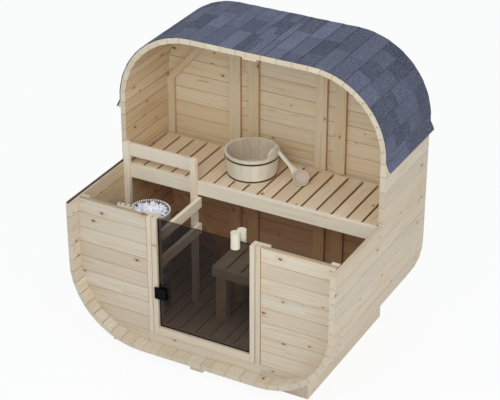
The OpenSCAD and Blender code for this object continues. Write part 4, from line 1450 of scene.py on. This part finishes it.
CAMERA_PLACE = (4.92976, -9.09483, 6.83648)
CAMERA_YAW = 0.495507
CAMERA_PITCH = -0.507589
FOCAL_PX = 1663.466
IMAGE_WIDE_PX = 500
SENSOR_MM = 36.0
WHITE = (1.0, 1.0, 1.0, 1.0)
WORLD_LIGHT = 0.6
WORLD_TINT = (0.92, 0.985, 1.07, 1.0)
KEY_POWER = 68.0
SIDE_POWER = 165.0
FLOOR_GLOW = 0.92
FLOOR_SPAN = 30.0


def put(name, data):
    """A new object in the scene."""
    made = bpy.data.objects.new(name, data)
    bpy.context.scene.collection.objects.link(made)
    return made


def build_camera():
    """The camera at the photograph's angle."""
    data = bpy.data.cameras.new("camera")
    data.sensor_fit = "HORIZONTAL"
    data.sensor_width = SENSOR_MM
    data.lens = FOCAL_PX / IMAGE_WIDE_PX * SENSOR_MM
    data.clip_end = 100.0
    camera = put("camera", data)
    camera.location = CAMERA_PLACE
    level = math.cos(CAMERA_PITCH)
    ahead = Vector((-math.sin(CAMERA_YAW) * level, math.cos(CAMERA_YAW) * level, math.sin(CAMERA_PITCH)))
    camera.rotation_euler = ahead.to_track_quat("-Z", "Y").to_euler()
    bpy.context.scene.camera = camera


def area_light(name, place, target, size, power):
    """A soft square lamp aimed at a point."""
    data = bpy.data.lights.new(name, "AREA")
    data.shape = "SQUARE"
    data.size = size
    data.energy = power
    lamp = put(name, data)
    lamp.location = place
    lamp.visible_camera = False
    aim = Vector(target) - Vector(place)
    lamp.rotation_euler = aim.to_track_quat("-Z", "Y").to_euler()


def build_world():
    """Soft light from all round, and a white backdrop."""
    world = bpy.data.worlds.new("studio")
    bpy.context.scene.world = world
    world.use_nodes = True
    world.node_tree.nodes.clear()
    nodes = Nodes(world.node_tree)
    soft = nodes.add("Background", {"Color": WORLD_TINT, "Strength": WORLD_LIGHT}).outputs[0]
    white = nodes.add("Background", {"Color": WHITE, "Strength": 1.0}).outputs[0]
    both = nodes.add("MixShader", {0: nodes.seen_directly(), 1: soft, 2: white}).outputs[0]
    nodes.add("OutputWorld", {0: both}).is_active_output = True


def build_floor():
    """A pale floor that keeps the object's shadow and fades into the backdrop."""
    coat = Coat("studio_floor")
    dust = coat.cloud(coat.place(), 3.0)
    mat = coat.finish({"Base Color": coat.mix(dust, (0.86, 0.86, 0.86, 1), (0.88, 0.88, 0.88, 1)),
                       "Roughness": 0.9, "Specular IOR Level": 0.0})
    glow = coat.add("Emission", {"Color": WHITE, "Strength": 1.0}).outputs[0]
    share = coat.times(coat.seen_directly(), FLOOR_GLOW)
    both = coat.add("MixShader", {0: share, 1: coat.shader.outputs[0], 2: glow}).outputs[0]
    coat.feed(coat.tree.nodes["Material Output"].inputs["Surface"], both)
    mesh = bpy.data.meshes.new("studio_floor")
    signs = ((-1, -1), (1, -1), (1, 1), (-1, 1))
    mesh.from_pydata([(x * FLOOR_SPAN, y * FLOOR_SPAN, 0) for x, y in signs], [], [(0, 1, 2, 3)])
    mesh.materials.append(mat)
    floor = put("studio_floor", mesh)


def build_stage():
    """White backdrop, pale floor and soft light from above and from the front."""
    bpy.context.scene.view_settings.view_transform = "Standard"
    build_world()
    area_light("key", (0.6, -3.0, 3.8), (-0.1, 0.4, 1.3), 2.2, KEY_POWER)
    area_light("side", (8.0, -2.5, 3.0), (0.0, 0.0, 1.1), 5.0, SIDE_POWER)
    build_floor()


build_camera()
build_stage()
build_shell()
build_end_walls()
build_roof()
build_nails()
build_joinery()
build_cage()
build_stones()
build_ladle(build_bucket())
build_door()
